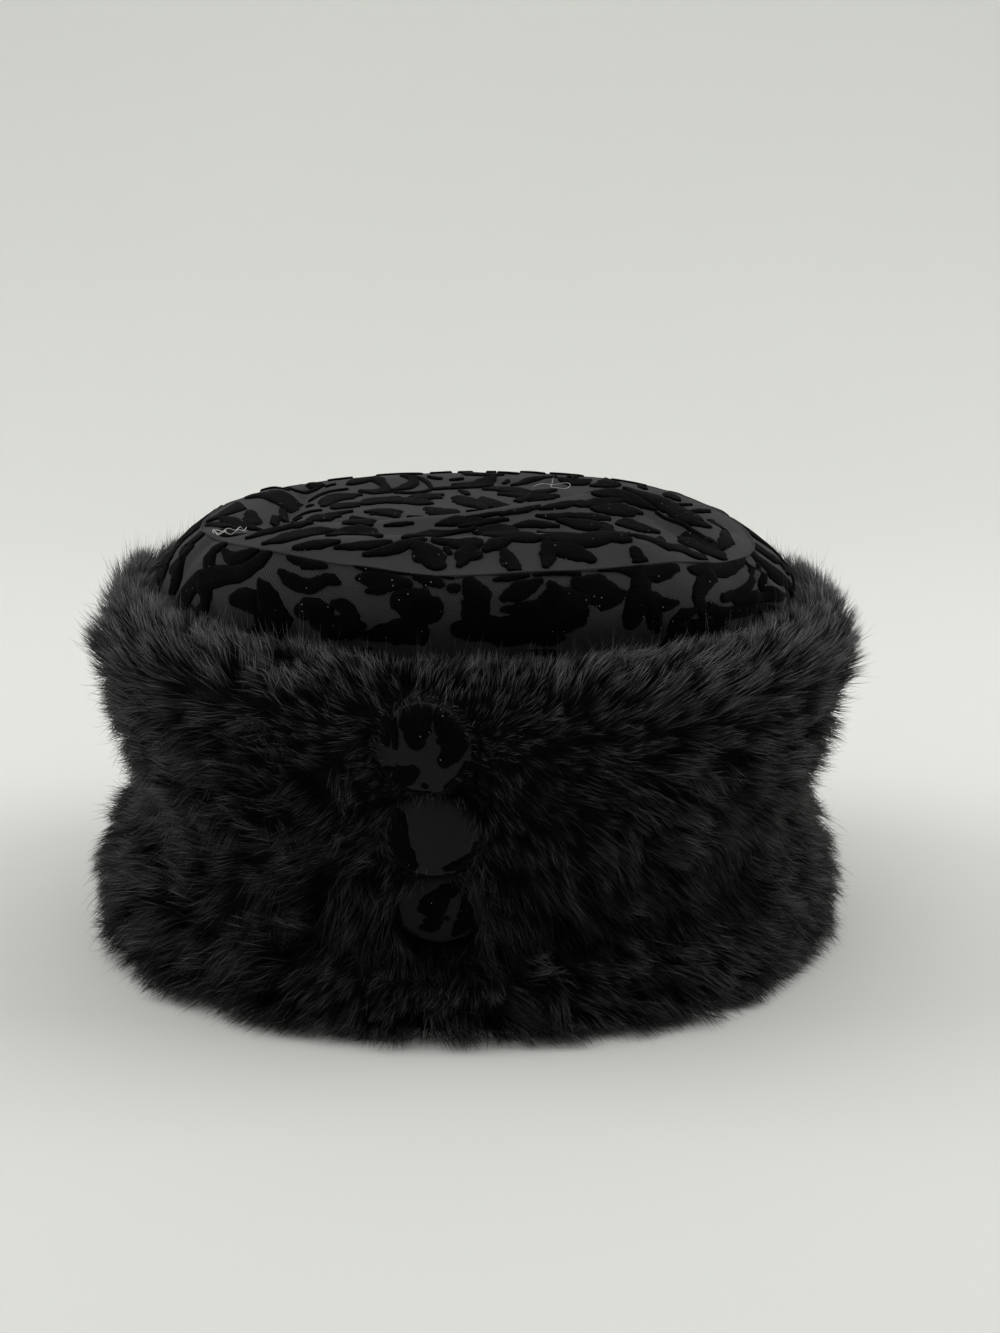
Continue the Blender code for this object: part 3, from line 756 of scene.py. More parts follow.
def crown_tip_place(angles, rows):
    shares = 1 - (1 - rows) ** 1.35
    points = tip_points(angles, shares)
    return points, points[:, :2]


crown_tip_cloth = woven_round("crown_tip_cloth", 260, 56, crown_tip_place)
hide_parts("crown_tip")
as_cloth(crown_tip_cloth)


# The seam between wall and tip: the two cloths' turned edges stand up under the stitches as a slim rib of the
# same twill, and the stitches pinch it at even steps.
SEAM_RIB = 0.0005
SEAM_RIB_RISE = 0.0001


def seam_rib(angles, rows):
    seam, facing, over_it = up_the_seam(angles)
    turn = rows * 2 * math.pi
    middle = seam + over_it * SEAM_RIB_RISE
    size = SEAM_RIB * (1 + 0.18 * np.sin(angles * 210))
    points = middle + (facing * np.cos(turn)[:, None] + over_it * np.sin(turn)[:, None]) * size[:, None]
    return points, np.stack([angles * CLOTH_ROUND, rows * 0.003], axis=-1)


crown_seam = woven_round("crown_seam", 240, 8, seam_rib)
crown_seam.data.materials.append(dark_twill)
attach(crown_seam, "root")


# The velvet pattern: scrolls, leaves and petals of black pile, left standing where the cloth was not etched
# away. Each is one stroke: its places along the middle, with half its width there, all in millimetres on the
# flat cloth. The wall's repeat is 243 mm long, and plain leaves fill the tip between the strokes.
WALL_PATTERN = [
    [
        (-61.7, 26.7, 1.4), (-62.8, 23.8, 3), (-66.9, 21.1, 2.5), (-73.4, 19.4, 2.3), (-79.8, 18.4, 3),
        (-85.8, 16.6, 2.7), (-93.7, 13.4, 3.4), (-98.2, 8.2, 2.9), (-106.2, 1.5, 1.5),
    ],
    [(-79.1, 18.1, 2.2), (-84.3, 20.8, 1.8), (-86.6, 23.2, 2.3), (-84.1, 25.8, 1.5)],
    [(-82.3, 24.4, 0.7), (-75.2, 23.2, 1.7), (-70.2, 24.4, 2.2), (-66.7, 26.7, 1.2)],
    [(-83.6, 16.9, 2.8), (-80.6, 14.3, 2.8), (-81.3, 11.6, 2.1), (-86.5, 9, 1.5), (-90.1, 9.6, 1.1)],
    [
        (-69.5, 14.2, 1.8), (-64.5, 14.8, 3.2), (-60.5, 13.2, 3.4), (-60.2, 9.6, 2.4),
        (-63.8, 5.3, 2.3), (-70.7, 2.3, 2.5), (-79.1, 0.3, 2.1), (-87, 0.3, 1.9),
    ],
    [(-84.6, 2, 4), (-81.6, 5.4, 2.9), (-79.9, 8.4, 0.7)],
    [(-64.8, 1.8, 1.9), (-61.5, 1.2, 1.9)],
    [(-60.5, 19.4, 0.6), (-57.8, 16.5, 3.1), (-56, 13.4, 5), (-55.5, 9.9, 5.4), (-56, 6.5, 2)],
    [(-53.4, 26.2, 1.3), (-49.1, 26.6, 2.8), (-44.6, 26.3, 2.9), (-40.9, 25.2, 0.8)],
    [(-54.5, 22, 0.8), (-50.4, 20.5, 1.9), (-46.1, 19.6, 1.9), (-41.6, 20.5, 2.1), (-39.4, 22.1, 1.2)],
    [(-40, 21.9, 1.6), (-37.9, 21.9, 1.6), (-35.5, 21.2, 0.6)],
    [(-46.1, 13.5, 2.4), (-43.1, 13.8, 3.9), (-40.7, 11.9, 5.1)],
    [(-36.9, 16.2, 0.8), (-34.3, 15.8, 2), (-32.3, 13.8, 2.7), (-33.2, 10, 4.2), (-30.8, 9.2, 2)],
    [(-41.7, 6.3, 0.8), (-38.2, 7.7, 1.8), (-34.2, 8.2, 2.3), (-29.3, 10.9, 1.2)],
    [(-18.1, 18, 3.5), (-14.4, 17, 5.4), (-10.7, 16.1, 4.2)],
    [(-30, 7.2, 1), (-25.6, 8, 2.5), (-20.6, 9, 3.8), (-15.1, 9.6, 4.5)],
    [(-32, 26.7, 0.8), (-28.3, 26.7, 1.7), (-24.5, 26.7, 1.4), (-20.1, 26.7, 1), (-16.6, 26.7, 0.6)],
    [(-30.8, 23, 0.8), (-26.8, 23.4, 2.9), (-21.9, 23.4, 3.2), (-16.8, 22.8, 1.6)],
    [(-27.6, 19.7, 0.7), (-24, 20.9, 1.9), (-20.9, 22.4, 1.5)],
    [(-14.4, 26.1, 2), (-11.4, 25.5, 3.2), (-7.9, 23.4, 1.3)],
    [(-8, 27, 0.6), (-4.9, 25.9, 0.6)],
    [(-5, 22.3, 1.6), (-4, 22.3, 1.7)],
    [(-45.4, 1.4, 0.8), (-43.1, 2.3, 1.3), (-40.7, 3.6, 0.6)],
    [(-34.7, 1.5, 0.8), (-31.5, 2.4, 1.5), (-28.7, 3.8, 0.7)],
    [(-144.6, 26.7, 2.5), (-160.7, 23.6, 0.7), (-157, 20.8, 0.8), (-140.1, 19.2, 0.7), (-123.3, 18.2, 0.6)],
    [(-106.4, 25.9, 1.7), (-112.8, 23.5, 5.4), (-111.8, 22.3, 2.5)],
    [(-110.8, 21.3, 1.8), (-105.4, 19, 4.3), (-113.8, 16.6, 1.3)],
    [(-107.6, 18, 2.9), (-105.1, 14.6, 3.5), (-107.4, 11.1, 0.8)],
    [(-122, 14.8, 2.2), (-128, 9, 0.7)],
    [(6.5, 24.4, 0.6), (11.1, 25.2, 1.5), (15.9, 25.4, 0.6)],
    [(17.6, 25.5, 0.6), (23.8, 26.1, 1), (29.8, 25.4, 1.1)],
    [(-0.3, 24.2, 2.2), (1.8, 19.2, 4), (1, 14.4, 3.7)],
    [(8.7, 18.9, 1.2), (13.1, 20.8, 3), (18.9, 23.4, 1.1)],
    [(18.6, 18.6, 0.8), (22.1, 19.2, 2.9), (25.8, 18.4, 3.1), (29.8, 18.1, 2.3)],
    [(21.6, 22.3, 1.3), (23.6, 20.4, 1.8)],
    [(29.2, 22.3, 2.5), (33.7, 20.8, 4.8), (37.9, 19, 3.9), (41.4, 19, 1.1)],
    [(36, 26.7, 0.7), (41.4, 26.5, 1.3), (46.6, 25.1, 2.4), (52.1, 23.9, 2.8), (60.3, 25, 1.6)],
    [(48.3, 25.1, 2.7), (46.6, 20.1, 3.1), (44.6, 15.5, 4), (44.2, 11.7, 2.8)],
    [(48.1, 17.3, 2.7), (52.8, 15.5, 2), (57, 15.9, 0.6)],
    [(48.9, 15.3, 2.2), (50.9, 11.3, 2.3), (53.3, 8.4, 1.2)],
    [(57.1, 8.6, 1.3), (58.8, 11.3, 3), (62.7, 13.4, 1)],
    [(66, 24, 1.3), (74.1, 24.4, 2.7), (85.1, 25.1, 2.4), (98.9, 26.2, 1.4)],
    [(72.9, 22.8, 2.4), (66, 19, 2.4), (64.5, 15.4, 2.5), (67.5, 11.1, 1.3)],
    [(68.5, 13.8, 2), (74.9, 11.1, 2.1), (81.6, 11.9, 1.9), (96.2, 10.1, 1.6), (112.8, 6.2, 0.6)],
    [(75.1, 16.2, 1.6), (83.1, 17.3, 1.7), (88.3, 19, 1.1), (97.2, 22.7, 0.8), (101.5, 26.6, 1)],
    [(79.4, 14.6, 1.3), (84.8, 15, 1.9), (96.7, 14, 2), (109.6, 11.3, 0.8)],
    [(107.6, 23.2, 0.7), (96.5, 18.5, 1.3), (98.2, 15.4, 1.6), (111.8, 11.7, 1)],
    [(115.8, 26.7, 1), (112.8, 22.4, 4.8), (118.5, 16.5, 3.2), (127.5, 9.3, 0.6)],
    [(-2.8, 10.1, 3.1), (4.7, 10, 4.3), (12.9, 9.9, 4.9), (21.9, 11.1, 4.2), (29.2, 12.6, 2.3)],
    [(8.5, 15.9, 0.8), (15.4, 15.8, 2.3), (22.6, 15.7, 2.7), (29.5, 14.8, 2.3)],
    [(18.3, 5.9, 0.7), (22.8, 6.6, 1.7), (26.3, 7.3, 0.6)],
    [(16.3, 3.6, 0.6), (23.1, 2.3, 1.8)],
    [(56.8, 3.5, 1), (60.8, 7.6, 2.9), (67.9, 8.1, 2.5), (75.9, 8.1, 0.8)],
    [(69.7, 2.4, 2.7), (76.4, 5.7, 1.7)],
]
TIP_PATTERN = [
    [(-13.8, -82.8, 3.4), (-11.8, -86.2, 4.9), (-9.2, -90.8, 2.8)],
    [(-9.5, -77.7, 2.3), (-5.3, -79.6, 2.7), (-0.1, -80.2, 4.1)],
    [(-0.1, -80, 2.2), (-1, -85.1, 3.1), (-3.1, -91.2, 1.1)],
    [(-1.5, -86.1, 3.5), (1.5, -86.5, 2.2)],
    [(-6.9, -82.9, 1.1), (-5.9, -85.1, 0.9)],
    [(-49.7, -79.3, 1.2), (-45.8, -79.5, 2.4), (-41.6, -79.3, 2.6), (-38.1, -79, 1.4)],
    [(-38, -82.2, 0.9), (-33.4, -82.1, 2), (-28.5, -82.1, 2.6), (-23.3, -80.7, 1.4)],
    [(-29.5, -86.8, 1.1), (-24.6, -85.6, 2.2), (-19.9, -82.6, 2.7), (-13.8, -77.3, 1.5)],
    [(-19, -77, 1.1), (-13.1, -65.9, 3.6), (-6.9, -63.9, 1.6), (1, -62.1, 1.1)],
    [(-58.9, -70.6, 1.8), (-52.5, -68.2, 6.8), (-46, -63.9, 5), (-40.7, -63.2, 1.8)],
    [(-40.4, -71.6, 1.9), (-36, -62.9, 3.8), (-31.6, -62.8, 4.2), (-26, -76.1, 1.2)],
    [(-32.9, -53.7, 5.8), (-30.3, -57.5, 1.5)],
    [(-65.3, -61, 1.2), (-61.7, -58.9, 2.4), (-58.1, -57.4, 2.6), (-54, -56.8, 1.1)],
    [(-54.4, -55.6, 1.6), (-51.3, -54.3, 4.2), (-47.8, -54.6, 1.2)],
    [(-51, -19, 2), (-47.1, -14.5, 5.1), (-43.5, -13.3, 2)],
    [(-45.4, -10.1, 2.4), (-40, -4.7, 1.6)],
    [(-49.1, 6.8, 1.1), (-47.9, 20.3, 4.5), (-44.5, 27.4, 6.8), (-39.7, 29.9, 2)],
    [(-44.9, 1.6, 1.9), (-41.9, 7.7, 5.5), (-38.1, 11.2, 2)],
    [(-35.6, 10.2, 2.3), (-31.9, 17.4, 6.2), (-27, 22.8, 2.8)],
    [(-27.1, 14.5, 3.2), (-22.6, 17.2, 6.8), (-17.2, 11.6, 4.2)],
    [(-18.8, 20.8, 3.4), (-15.7, 26.3, 6.8), (-12.2, 29, 2)],
    [(-33.2, -5.7, 2.4), (-29.2, -5.6, 6.8), (-24.3, -13.2, 0.9)],
    [(-14.5, 0.1, 2.3), (-10.2, -4.6, 6.2)],
    [(-25.3, -58.9, 0.8), (-21.7, -58.6, 1.4), (-17.6, -57.9, 0.8)],
    [(-10.3, -58.7, 0.8), (-5.2, -56.8, 3), (1.9, -57.5, 2)],
    [(-4.9, 23.4, 2.3), (-1, 8.5, 3.4)],
    [(-42.7, 52.8, 2.8), (-39, 60.7, 6.8), (-34.8, 57.3, 3.1), (-31.1, 43.7, 1.8), (-33, 35.8, 5.4), (-38.4, 38, 2)],
    [(-28.2, 39, 1.8), (-23.7, 45.1, 3.1), (-21.9, 55.2, 1.8), (-25.4, 63.5, 1.8)],
    [(-27.1, 34.7, 1.2), (-21, 33.3, 2), (-15.3, 40.7, 0.8), (-18.1, 55.4, 1.2), (-22.1, 61.3, 1.2)],
    [(-13.7, 41.5, 2), (-7.4, 44.1, 2.4), (0.9, 46.8, 2.8)],
    [(-71.6, 23.2, 5.9), (-67, 23.4, 6.8), (-63.5, 37.9, 4.9)],
    [(-63.7, -10.8, 1.2), (-64, 0.5, 1.4)],
    [(-63.3, 15.6, 1.4), (-61.8, 3.4, 1.8)],
    [(-78.4, 13.7, 1.1), (-78.6, -3.7, 5.5), (-81, -7.9, 5)],
    [(-79.5, -13.7, 1.2), (-72.5, -24.5, 3.5), (-65.6, -29, 0.8)],
    [(-83.2, -17, 1.4), (-76.1, -28.3, 2.6)],
    [(4.4, -83.9, 1.6), (7.3, -81.1, 3.5), (11.2, -78.9, 1.2)],
    [(9.7, -85.6, 1.6), (10.8, -89.7, 2.7), (12.7, -95, 1.8)],
    [(21.6, -79, 1.4), (21.8, -85.8, 2.6), (20.9, -92.2, 1.1)],
    [(22.8, -83, 2.7), (27.3, -83.2, 4.7), (33.4, -86.4, 2.2)],
    [(46.6, -79.7, 1.9), (47.9, -83.6, 2.7)],
    [(0.7, -64.2, 0.8), (6.6, -65.8, 6.6), (13.2, -75.8, 5.5), (21.2, -78.5, 1.2)],
    [(12.5, -61.9, 0.9), (18.7, -57.7, 2.6), (24.9, -56.3, 1.1)],
    [(21.5, -77.6, 2.7), (26.2, -77.1, 6.2), (32, -77.9, 4.5), (38.6, -72, 5.3)],
    [(26, -52.4, 1.6), (32.4, -52.1, 4.1), (40, -48.4, 2.4)],
    [(28.3, -47.9, 1.4), (34.7, -45.1, 2.6), (40.5, -39.9, 1.5)],
    [(37.1, -36.4, 1.9), (43.9, -29, 4.7), (50.9, -23.9, 1.9)],
    [(31.4, -37.9, 1.2), (38.2, -29.1, 2.7), (46.1, -20.2, 0.9)],
    [(20.1, -46.3, 0.8), (26.6, -40.5, 2.2), (33.5, -32, 0.8)],
    [(8.5, -55.3, 0.8), (14, -50.8, 1.5), (19.9, -44.4, 0.8)],
    [(19.3, -51.8, 0.9), (25, -50.1, 2.2), (29.5, -46, 0.8)],
    [(-3.5, -60, 0.8), (3.2, -58.9, 1.9), (10.2, -58, 0.9)],
    [(-3.6, -55.7, 0.8), (3.2, -54.9, 1.2), (8.7, -54.3, 0.8)],
    [(39.9, -51.6, 2.6), (42.1, -72.5, 5.8), (44.4, -74.9, 1.9)],
    [(43.7, -42.4, 1.2), (49, -37.9, 5), (55, -37.3, 2.2)],
    [(46.6, -50, 0.9), (51, -67.8, 6.8), (58.2, -61.7, 5.7)],
    [(37.7, -22.8, 1.5), (44.5, -17, 4.3), (50.4, -15.6, 3.6), (56.3, -17.2, 1.4)],
    [(50.6, -9.7, 4.3), (57.5, -7.7, 6.8), (63.8, -11.6, 6.8), (69.7, -21.8, 2.4)],
    [(60.7, -14.4, 1.1), (65.8, -22.3, 3.1), (71.5, -25.6, 2.6)],
    [(48.6, 77.2, 0.8), (54.5, 76, 1.4), (59.7, 68.3, 0.8)],
    [(65.3, -32.2, 2), (68.2, -42.4, 6.8), (72.7, -55.5, 3.1)],
    [(61.5, -54.4, 2.6), (64.1, -64, 5.7), (67.5, -66.3, 2)],
    [(57.3, -19.2, 0.9), (62.8, -23.5, 0.9), (67.2, -30.2, 0.8), (72.2, -39.7, 0.8)],
    [(-5.6, 48.5, 3.5), (0.7, 49.5, 4.9), (5.8, 59.4, 1.5)],
    [(12.8, 49.5, 1.2), (18.3, 55.7, 2.2), (26.9, 66, 2.2)],
    [(3.8, 41.1, 2.2), (10.2, 41.3, 5.7), (18, 34.9, 4.3), (26.2, 41.1, 1.8)],
    [(9.4, 30.8, 2.6), (17.9, 30.1, 5.3), (26.8, 33, 1.9)],
    [(30.4, 60.2, 2.2), (34.3, 55.9, 4.9), (39.8, 64.9, 1.2)],
    [(41.2, 52.6, 2.2), (46.5, 58.5, 4.5), (46.1, 77, 0.8)],
    [(-5.1, 22.5, 3.2), (-0.4, 12.2, 6.1), (3.1, 3.6, 2.7)],
    [(2.4, 22.6, 1.2), (6.4, 10.4, 6.6)],
    [(14, 21, 1.6), (17.3, 28.6, 1.5)],
    [(-73, -31, 1.8), (-69.5, -20, 3.2), (-71, -8, 1.8)],
    [(-63, -38, 1.4), (-60, -28, 2.4), (-56, -22, 1.2)],
    [(-54, -44, 1.2), (-48, -40, 2.2), (-42, -41, 1.2)],
    [(74, -46, 1.2), (77.5, -34, 2.4), (78.5, -22, 1.4)],
    [(79, -12, 1.4), (79.5, 2, 2.6), (77.5, 16, 1.6)],
]
WALL_REPEAT = 0.2429
PILE_HEIGHT = 0.00075
PILE_ROOT = 0.0004
STROKE_STEPS = 17
STROKE_ROUND = 10
FILLER_TRIES = 1500
FILLER_GAP = 0.0014


def on_wall(spots):
    """The place on the crown's wall, and the way it faces, for spots on the flat strip."""
    angles = spots[:, 0] / CLOTH_ROUND
    places = np.clip(spots[:, 1] / CLOTH_RISE, 0.005, 0.994)
    return crown_wall(angles, places)[0], side_facing(angles, places)


def tip_at(x, y):
    angles = np.arctan2(x, -y)
    edge = np.hypot(*tip_points(angles, np.ones(len(angles)))[:, :2].T)
    return tip_points(angles, np.minimum(np.hypot(x, y) / edge, 0.994))


def on_tip(spots):
    """The place on the crown's tip, and the way it faces, for spots on its flat oval."""
    x, y = spots[:, 0], spots[:, 1]
    here = tip_at(x, y)
    ahead, beside = tip_at(x, y + 0.0012), tip_at(x + 0.0012, y)
    return here, unit(np.cross(beside - here + np.array([1e-7, 0, 0]), ahead - here + np.array([0, 1e-7, 0])))


def stroke_line(stroke, steps):
    """Smooth points and half widths along a stroke, with a round end past its first and last points."""
    knots = np.array(stroke) / 1000
    if len(knots) == 2:
        knots = np.stack([knots[0], (knots[0] + knots[1]) / 2, knots[1]])
    shares = np.linspace(0, len(knots) - 1, 40)
    span = np.minimum(shares.astype(int), len(knots) - 2)
    t = (shares - span)[:, None]
    before, start = knots[np.maximum(span - 1, 0)], knots[span]
    end, after = knots[span + 1], knots[np.minimum(span + 2, len(knots) - 1)]
    bend = (end - before) * (t - 2 * t**2 + t**3) + (after - start) * (t**3 - t**2)
    line = start + (end - start) * (3 * t**2 - 2 * t**3) + bend * 0.5
    walked = np.concatenate([[0], np.cumsum(np.hypot(*np.diff(line[:, :2], axis=0).T))])
    first, last = line[0, 2] * 0.9, line[-1, 2] * 0.9
    reach = -first + (walked[-1] + first + last) * (1 - np.cos(np.linspace(0, math.pi, steps))) / 2
    made = np.stack([np.interp(reach, walked, line[:, axis]) for axis in range(3)], axis=-1)
    for past, radius, end_way in (
        (-reach, first, unit(line[0, :2] - line[2, :2])),
        (reach - walked[-1], last, unit(line[-1, :2] - line[-3, :2])),
    ):
        share = np.clip(past / radius, 0, 1)
        made[:, :2] += end_way * (share * radius)[:, None]
        made[:, 2] *= np.sqrt(1 - share**2)
    return made


def pile_strokes(name, strokes, lay_on, height=PILE_HEIGHT):
    """Raised velvet for each stroke: a closed, flat-topped pad that follows the cloth."""
    pile = bmesh.new()
    uv = pile.loops.layers.uv.new("cloth")
    for number, stroke in enumerate(strokes):
        made = bmesh.ops.create_grid(pile, x_segments=STROKE_STEPS, y_segments=STROKE_ROUND, size=1.0)["verts"]
        flat = np.array([vertex.co for vertex in made])
        line = stroke_line(stroke, STROKE_STEPS + 1)
        step = np.rint((flat[:, 0] + 1) / 2 * STROKE_STEPS).astype(int)
        turn = (flat[:, 1] + 1) * math.pi
        way = unit(np.gradient(line[:, :2], axis=0))
        across = np.stack([way[:, 1], -way[:, 0]], axis=-1)
        edge = np.sign(np.cos(turn))
        ragged = 1 + (0.08 * np.sin(step * 2.3 + number) + 0.07 * np.sin(step * 4.9 + number * 1.7)) * edge
        out = edge * np.abs(np.cos(turn)) ** 0.75 * line[step, 2] * ragged
        up = np.abs(np.sin(turn)) ** 0.6 * np.where(np.sin(turn) > 0, height, -PILE_ROOT)
        up *= np.clip(line[step, 2] / 0.0006, 0, 1)
        spots = line[step, :2] + across[step] * out[:, None]
        points, facing = lay_on(spots)
        for vertex, point in zip(made, points + facing * up[:, None]):
            vertex.co = point
        laid = dict(zip(made, spots))
        for face in {face for vertex in made for face in vertex.link_faces}:
            face.smooth = True
            for loop in face.loops:
                loop[uv].uv = laid[loop.vert]
        bmesh.ops.remove_doubles(pile, verts=made, dist=1e-6)
    bmesh.ops.recalc_face_normals(pile, faces=pile.faces)
    return piece_from(name, pile)


def velvet_finish():
    finish = Finish("black_velvet", Specular_IOR_Level=0.02, Sheen_Weight=0.015, Sheen_Roughness=0.4)
    spot = finish.add("TexCoord", out=3)
    pile = finish.add("TexNoise", None, {"Vector": spot, "Scale": 1500.0, "Detail": 3.0})
    brushed = finish.add("TexNoise", None, {"Vector": spot, "Scale": 160.0, "Detail": 3.0})
    # Sparse pale specks are scattered over the pile's colour in small cells.
    pale_speck_cells = finish.add("TexVoronoi", None, {"Vector": spot, "Scale": 420.0})
    chosen = finish.add("TexNoise", None, {"Vector": spot, "Scale": 210.0, "Detail": 0.0})
    speck = (0.075 - pale_speck_cells > 0.0) * (chosen > 0.50)
    colour = finish.blend(pile * brushed * 1.6, (0.0001, 0.0001, 0.0001, 1), (0.0044, 0.0045, 0.0046, 1))
    specked_colour = finish.blend(speck, colour, (0.16, 0.17, 0.17, 1))
    bump = finish.add("Bump", None, {"Strength": 0.9, "Distance": 0.0003, "Height": pile + brushed * 1.5})
    return finish.feed(Base_Color=specked_colour, Roughness=0.95, Normal=bump)


def wall_repeats():
    """The wall's strokes once at the front, and again round the sides and back."""
    strokes = list(WALL_PATTERN)
    for repeat in (1, 2):
        for stroke in WALL_PATTERN:
            moved = [(u + WALL_REPEAT * 1000 * repeat, v, half) for u, v, half in stroke]
            middle = sum(u for u, _, _ in moved) / len(moved) / 1000 / CLOTH_ROUND
            if math.radians(79) < middle < math.radians(282):
                strokes.append(moved)
    return strokes


def tip_fillers():
    """More of the wall's scrolls and leaves, turned, wherever one finds room on the tip between the strokes."""
    rng = np.random.default_rng(11)
    taken = np.concatenate([stroke_line(stroke, 14) for stroke in TIP_PATTERN])
    fillers = []
    for _ in range(FILLER_TRIES):
        shape = np.array(WALL_PATTERN[rng.integers(len(WALL_PATTERN))])
        turn = rng.uniform(-math.pi, math.pi)
        run = np.array([math.cos(turn), math.sin(turn)])
        side = np.array([-math.sin(turn), math.cos(turn)])
        flat = shape[:, :2] - shape[:, :2].mean(axis=0)
        place = rng.uniform((-86, -94), (86, 94))
        moved = np.column_stack([flat[:, :1] * run + flat[:, 1:] * side + place, np.clip(shape[:, 2], 1.0, 4.2)])
        line = stroke_line(moved, 10)
        angles = np.arctan2(line[:, 0], -line[:, 1])
        edge = np.hypot(*side_points(angles, np.ones(len(line)))[:, :2].T)
        if (np.hypot(line[:, 0], line[:, 1]) > edge - 0.002 - line[:, 2] * 0.5).any():
            continue
        apart = np.linalg.norm(line[:, None, :2] - taken[None, :, :2], axis=-1)
        if (apart - line[:, None, 2] - taken[None, :, 2] > FILLER_GAP).all():
            taken = np.concatenate([taken, line])
            fillers.append(moved)
    return fillers


black_velvet = velvet_finish()
for name, strokes, lay_on in (
    ("velvet_on_wall", wall_repeats(), on_wall),
    ("velvet_on_tip", TIP_PATTERN + tip_fillers(), on_tip),
):
    velvet = pile_strokes(name, strokes, lay_on)
    velvet.data.materials.append(black_velvet)
    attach(velvet, "root")


# Loose threads: a white tacking thread left at the seam on the wearer's right, with its cut tails, and a pale
# curled end that clings to the velvet. They are fine spun cotton.
THREAD_STEPS = 60
Thread = namedtuple("Thread", "radius spots")
THREADS = {
    "tacking_loop": Thread(
        0.00013, [(-79, -48), (-77, -51), (-74.5, -52), (-73, -49.5), (-75, -47), (-78, -47.5), (-79.5, -50)]
    ),
    "tacking_tail": Thread(0.00011, [(-77, -50), (-74, -48), (-71, -45), (-70, -40), (-69.5, -33)]),
    "tacking_end": Thread(0.00011, [(-78, -49), (-75, -51.5), (-70.5, -53), (-66, -54.5)]),
    "far_loop": Thread(0.00008, [(19, 40), (24, 47), (29, 50), (33, 46), (30, 40), (25, 37), (27, 60)]),
}


def thread_on_tip(name, thread):
    """A closed round strand that lies on the tip and tapers at both ends."""

    def strand(turns, rows):
        knots = np.array(thread.spots) / 1000
        places = np.linspace(0, 1, len(knots))
        shares = np.linspace(0, 1, THREAD_STEPS + 1)
        soft = np.stack([np.interp(shares, places, knots[:, axis]) for axis in (0, 1)], axis=-1)
        for _ in range(12):
            soft[1:-1] = (soft[:-2] + soft[1:-1] * 2 + soft[2:]) / 4
        laid, facing = on_tip(soft)
        lift = PILE_HEIGHT + thread.radius + 0.0009 * np.sin(shares * 9 + len(knots)) ** 2
        laid = laid + facing * lift[:, None]
        way = unit(np.gradient(laid, axis=0))
        pick = np.rint(rows * THREAD_STEPS).astype(int)
        side = unit(np.cross(way[pick], facing[pick]))
        over = np.cross(side, way[pick])
        size = thread.radius * np.sqrt(np.clip(np.minimum(rows, 1 - rows) * 12, 0, 1))
        points = laid[pick] + (side * np.cos(turns)[:, None] + over * np.sin(turns)[:, None]) * size[:, None]
        return points, np.stack([turns * 0.0001, rows * 0.03], axis=-1)

    return woven_round(name, 6, THREAD_STEPS, strand)


def cotton_finish():
    finish = Finish("white_cotton", Specular_IOR_Level=0.3)
    spot = finish.add("TexCoord", out=3)
    twist = finish.add("TexNoise", None, {"Vector": spot, "Scale": 3000.0, "Detail": 1.0})
    colour = finish.blend(twist, (0.30, 0.30, 0.29, 1), (0.62, 0.62, 0.60, 1))
    return finish.feed(Base_Color=colour, Roughness=0.8)


white_cotton = cotton_finish()
for name, thread in THREADS.items():
    strand = thread_on_tip(name, thread)
    strand.data.materials.append(white_cotton)
    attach(strand, "root")


# The covered buttons: three domed metal shells, each with a disc of the crown's cloth drawn over it and
# gathered behind, sewn in a column down the front through the pile on a short shank.
SHANK_RADIUS = 0.0032
SHANK_LENGTH = 0.0030
BUTTON_PATTERNS = {
    "button_upper": [
        [(-1.5, 11.2, 4.3), (-1.7, 7.5, 4.6), (-1.5, 3.8, 2.8)],
        [(5.2, 10.4, 2.6), (8.1, 6.0, 4.6), (8.6, 1.6, 3.8), (6.2, -2.0, 2.2)],
        [(-8.6, 8.4, 1.8), (-7.6, 5.0, 1.3), (-7.2, 1.6, 0.8)],
        [(-9.6, -6.2, 2.2), (-6.6, -7.4, 4.2), (-2.6, -5.2, 2.2)],
        [(-11.2, 7.6, 1.4), (-10.6, 4.8, 2.0), (-9.6, 2.2, 0.9)],
        [(0.2, -9.5, 0.9), (0.7, -9.8, 0.9)],
        [(11.8, -3.4, 0.8), (10.0, -7.2, 1.2), (6.4, -10.4, 1.1)],
        [(-6.6, -10.8, 0.9), (-2.6, -12.0, 0.8), (1.6, -12.2, 0.6)],
    ],
    "button_middle": [
        [(-8.6, 7.0, 2.4), (-8.9, 0.5, 3.3), (-7.0, -7.4, 3.6)],
        [(4.2, -8.6, 1.2), (8.0, -7.2, 1.9), (10.8, -4.6, 1.0)],
        [(7.6, -10.2, 0.8), (11.0, -6.6, 0.9), (12.2, -1.0, 0.6)],
        [(-4.4, -12.0, 0.8), (0.2, -12.4, 0.6), (4.4, -11.8, 0.8)],
    ],
    "button_lower": [
        [(-3.2, 5.9, 1.6), (1.8, 8.4, 2.6), (5.6, 10.3, 1.8)],
        [(-4.2, 3.6, 1.4), (-0.8, 3.6, 3.2), (1.2, 6.2, 2.8)],
        [(-4.4, -3.8, 1.0), (-1.9, -2.9, 2.7), (-0.6, 0.6, 2.6)],
        [(8.6, 6.6, 1.5), (9.1, 0.8, 3.2), (6.9, -3.6, 2.6), (4.8, -6.6, 1.1)],
        [(2.7, 0.8, 0.8), (3.1, 0.5, 0.8)],
        [(-8.4, -9.0, 1.0), (-4.4, -11.4, 0.8), (1.4, -12.0, 0.8), (6.6, -10.2, 1.0)],
        [(-11.6, 3.8, 0.8), (-11.2, -3.6, 1.2)],
    ],
}


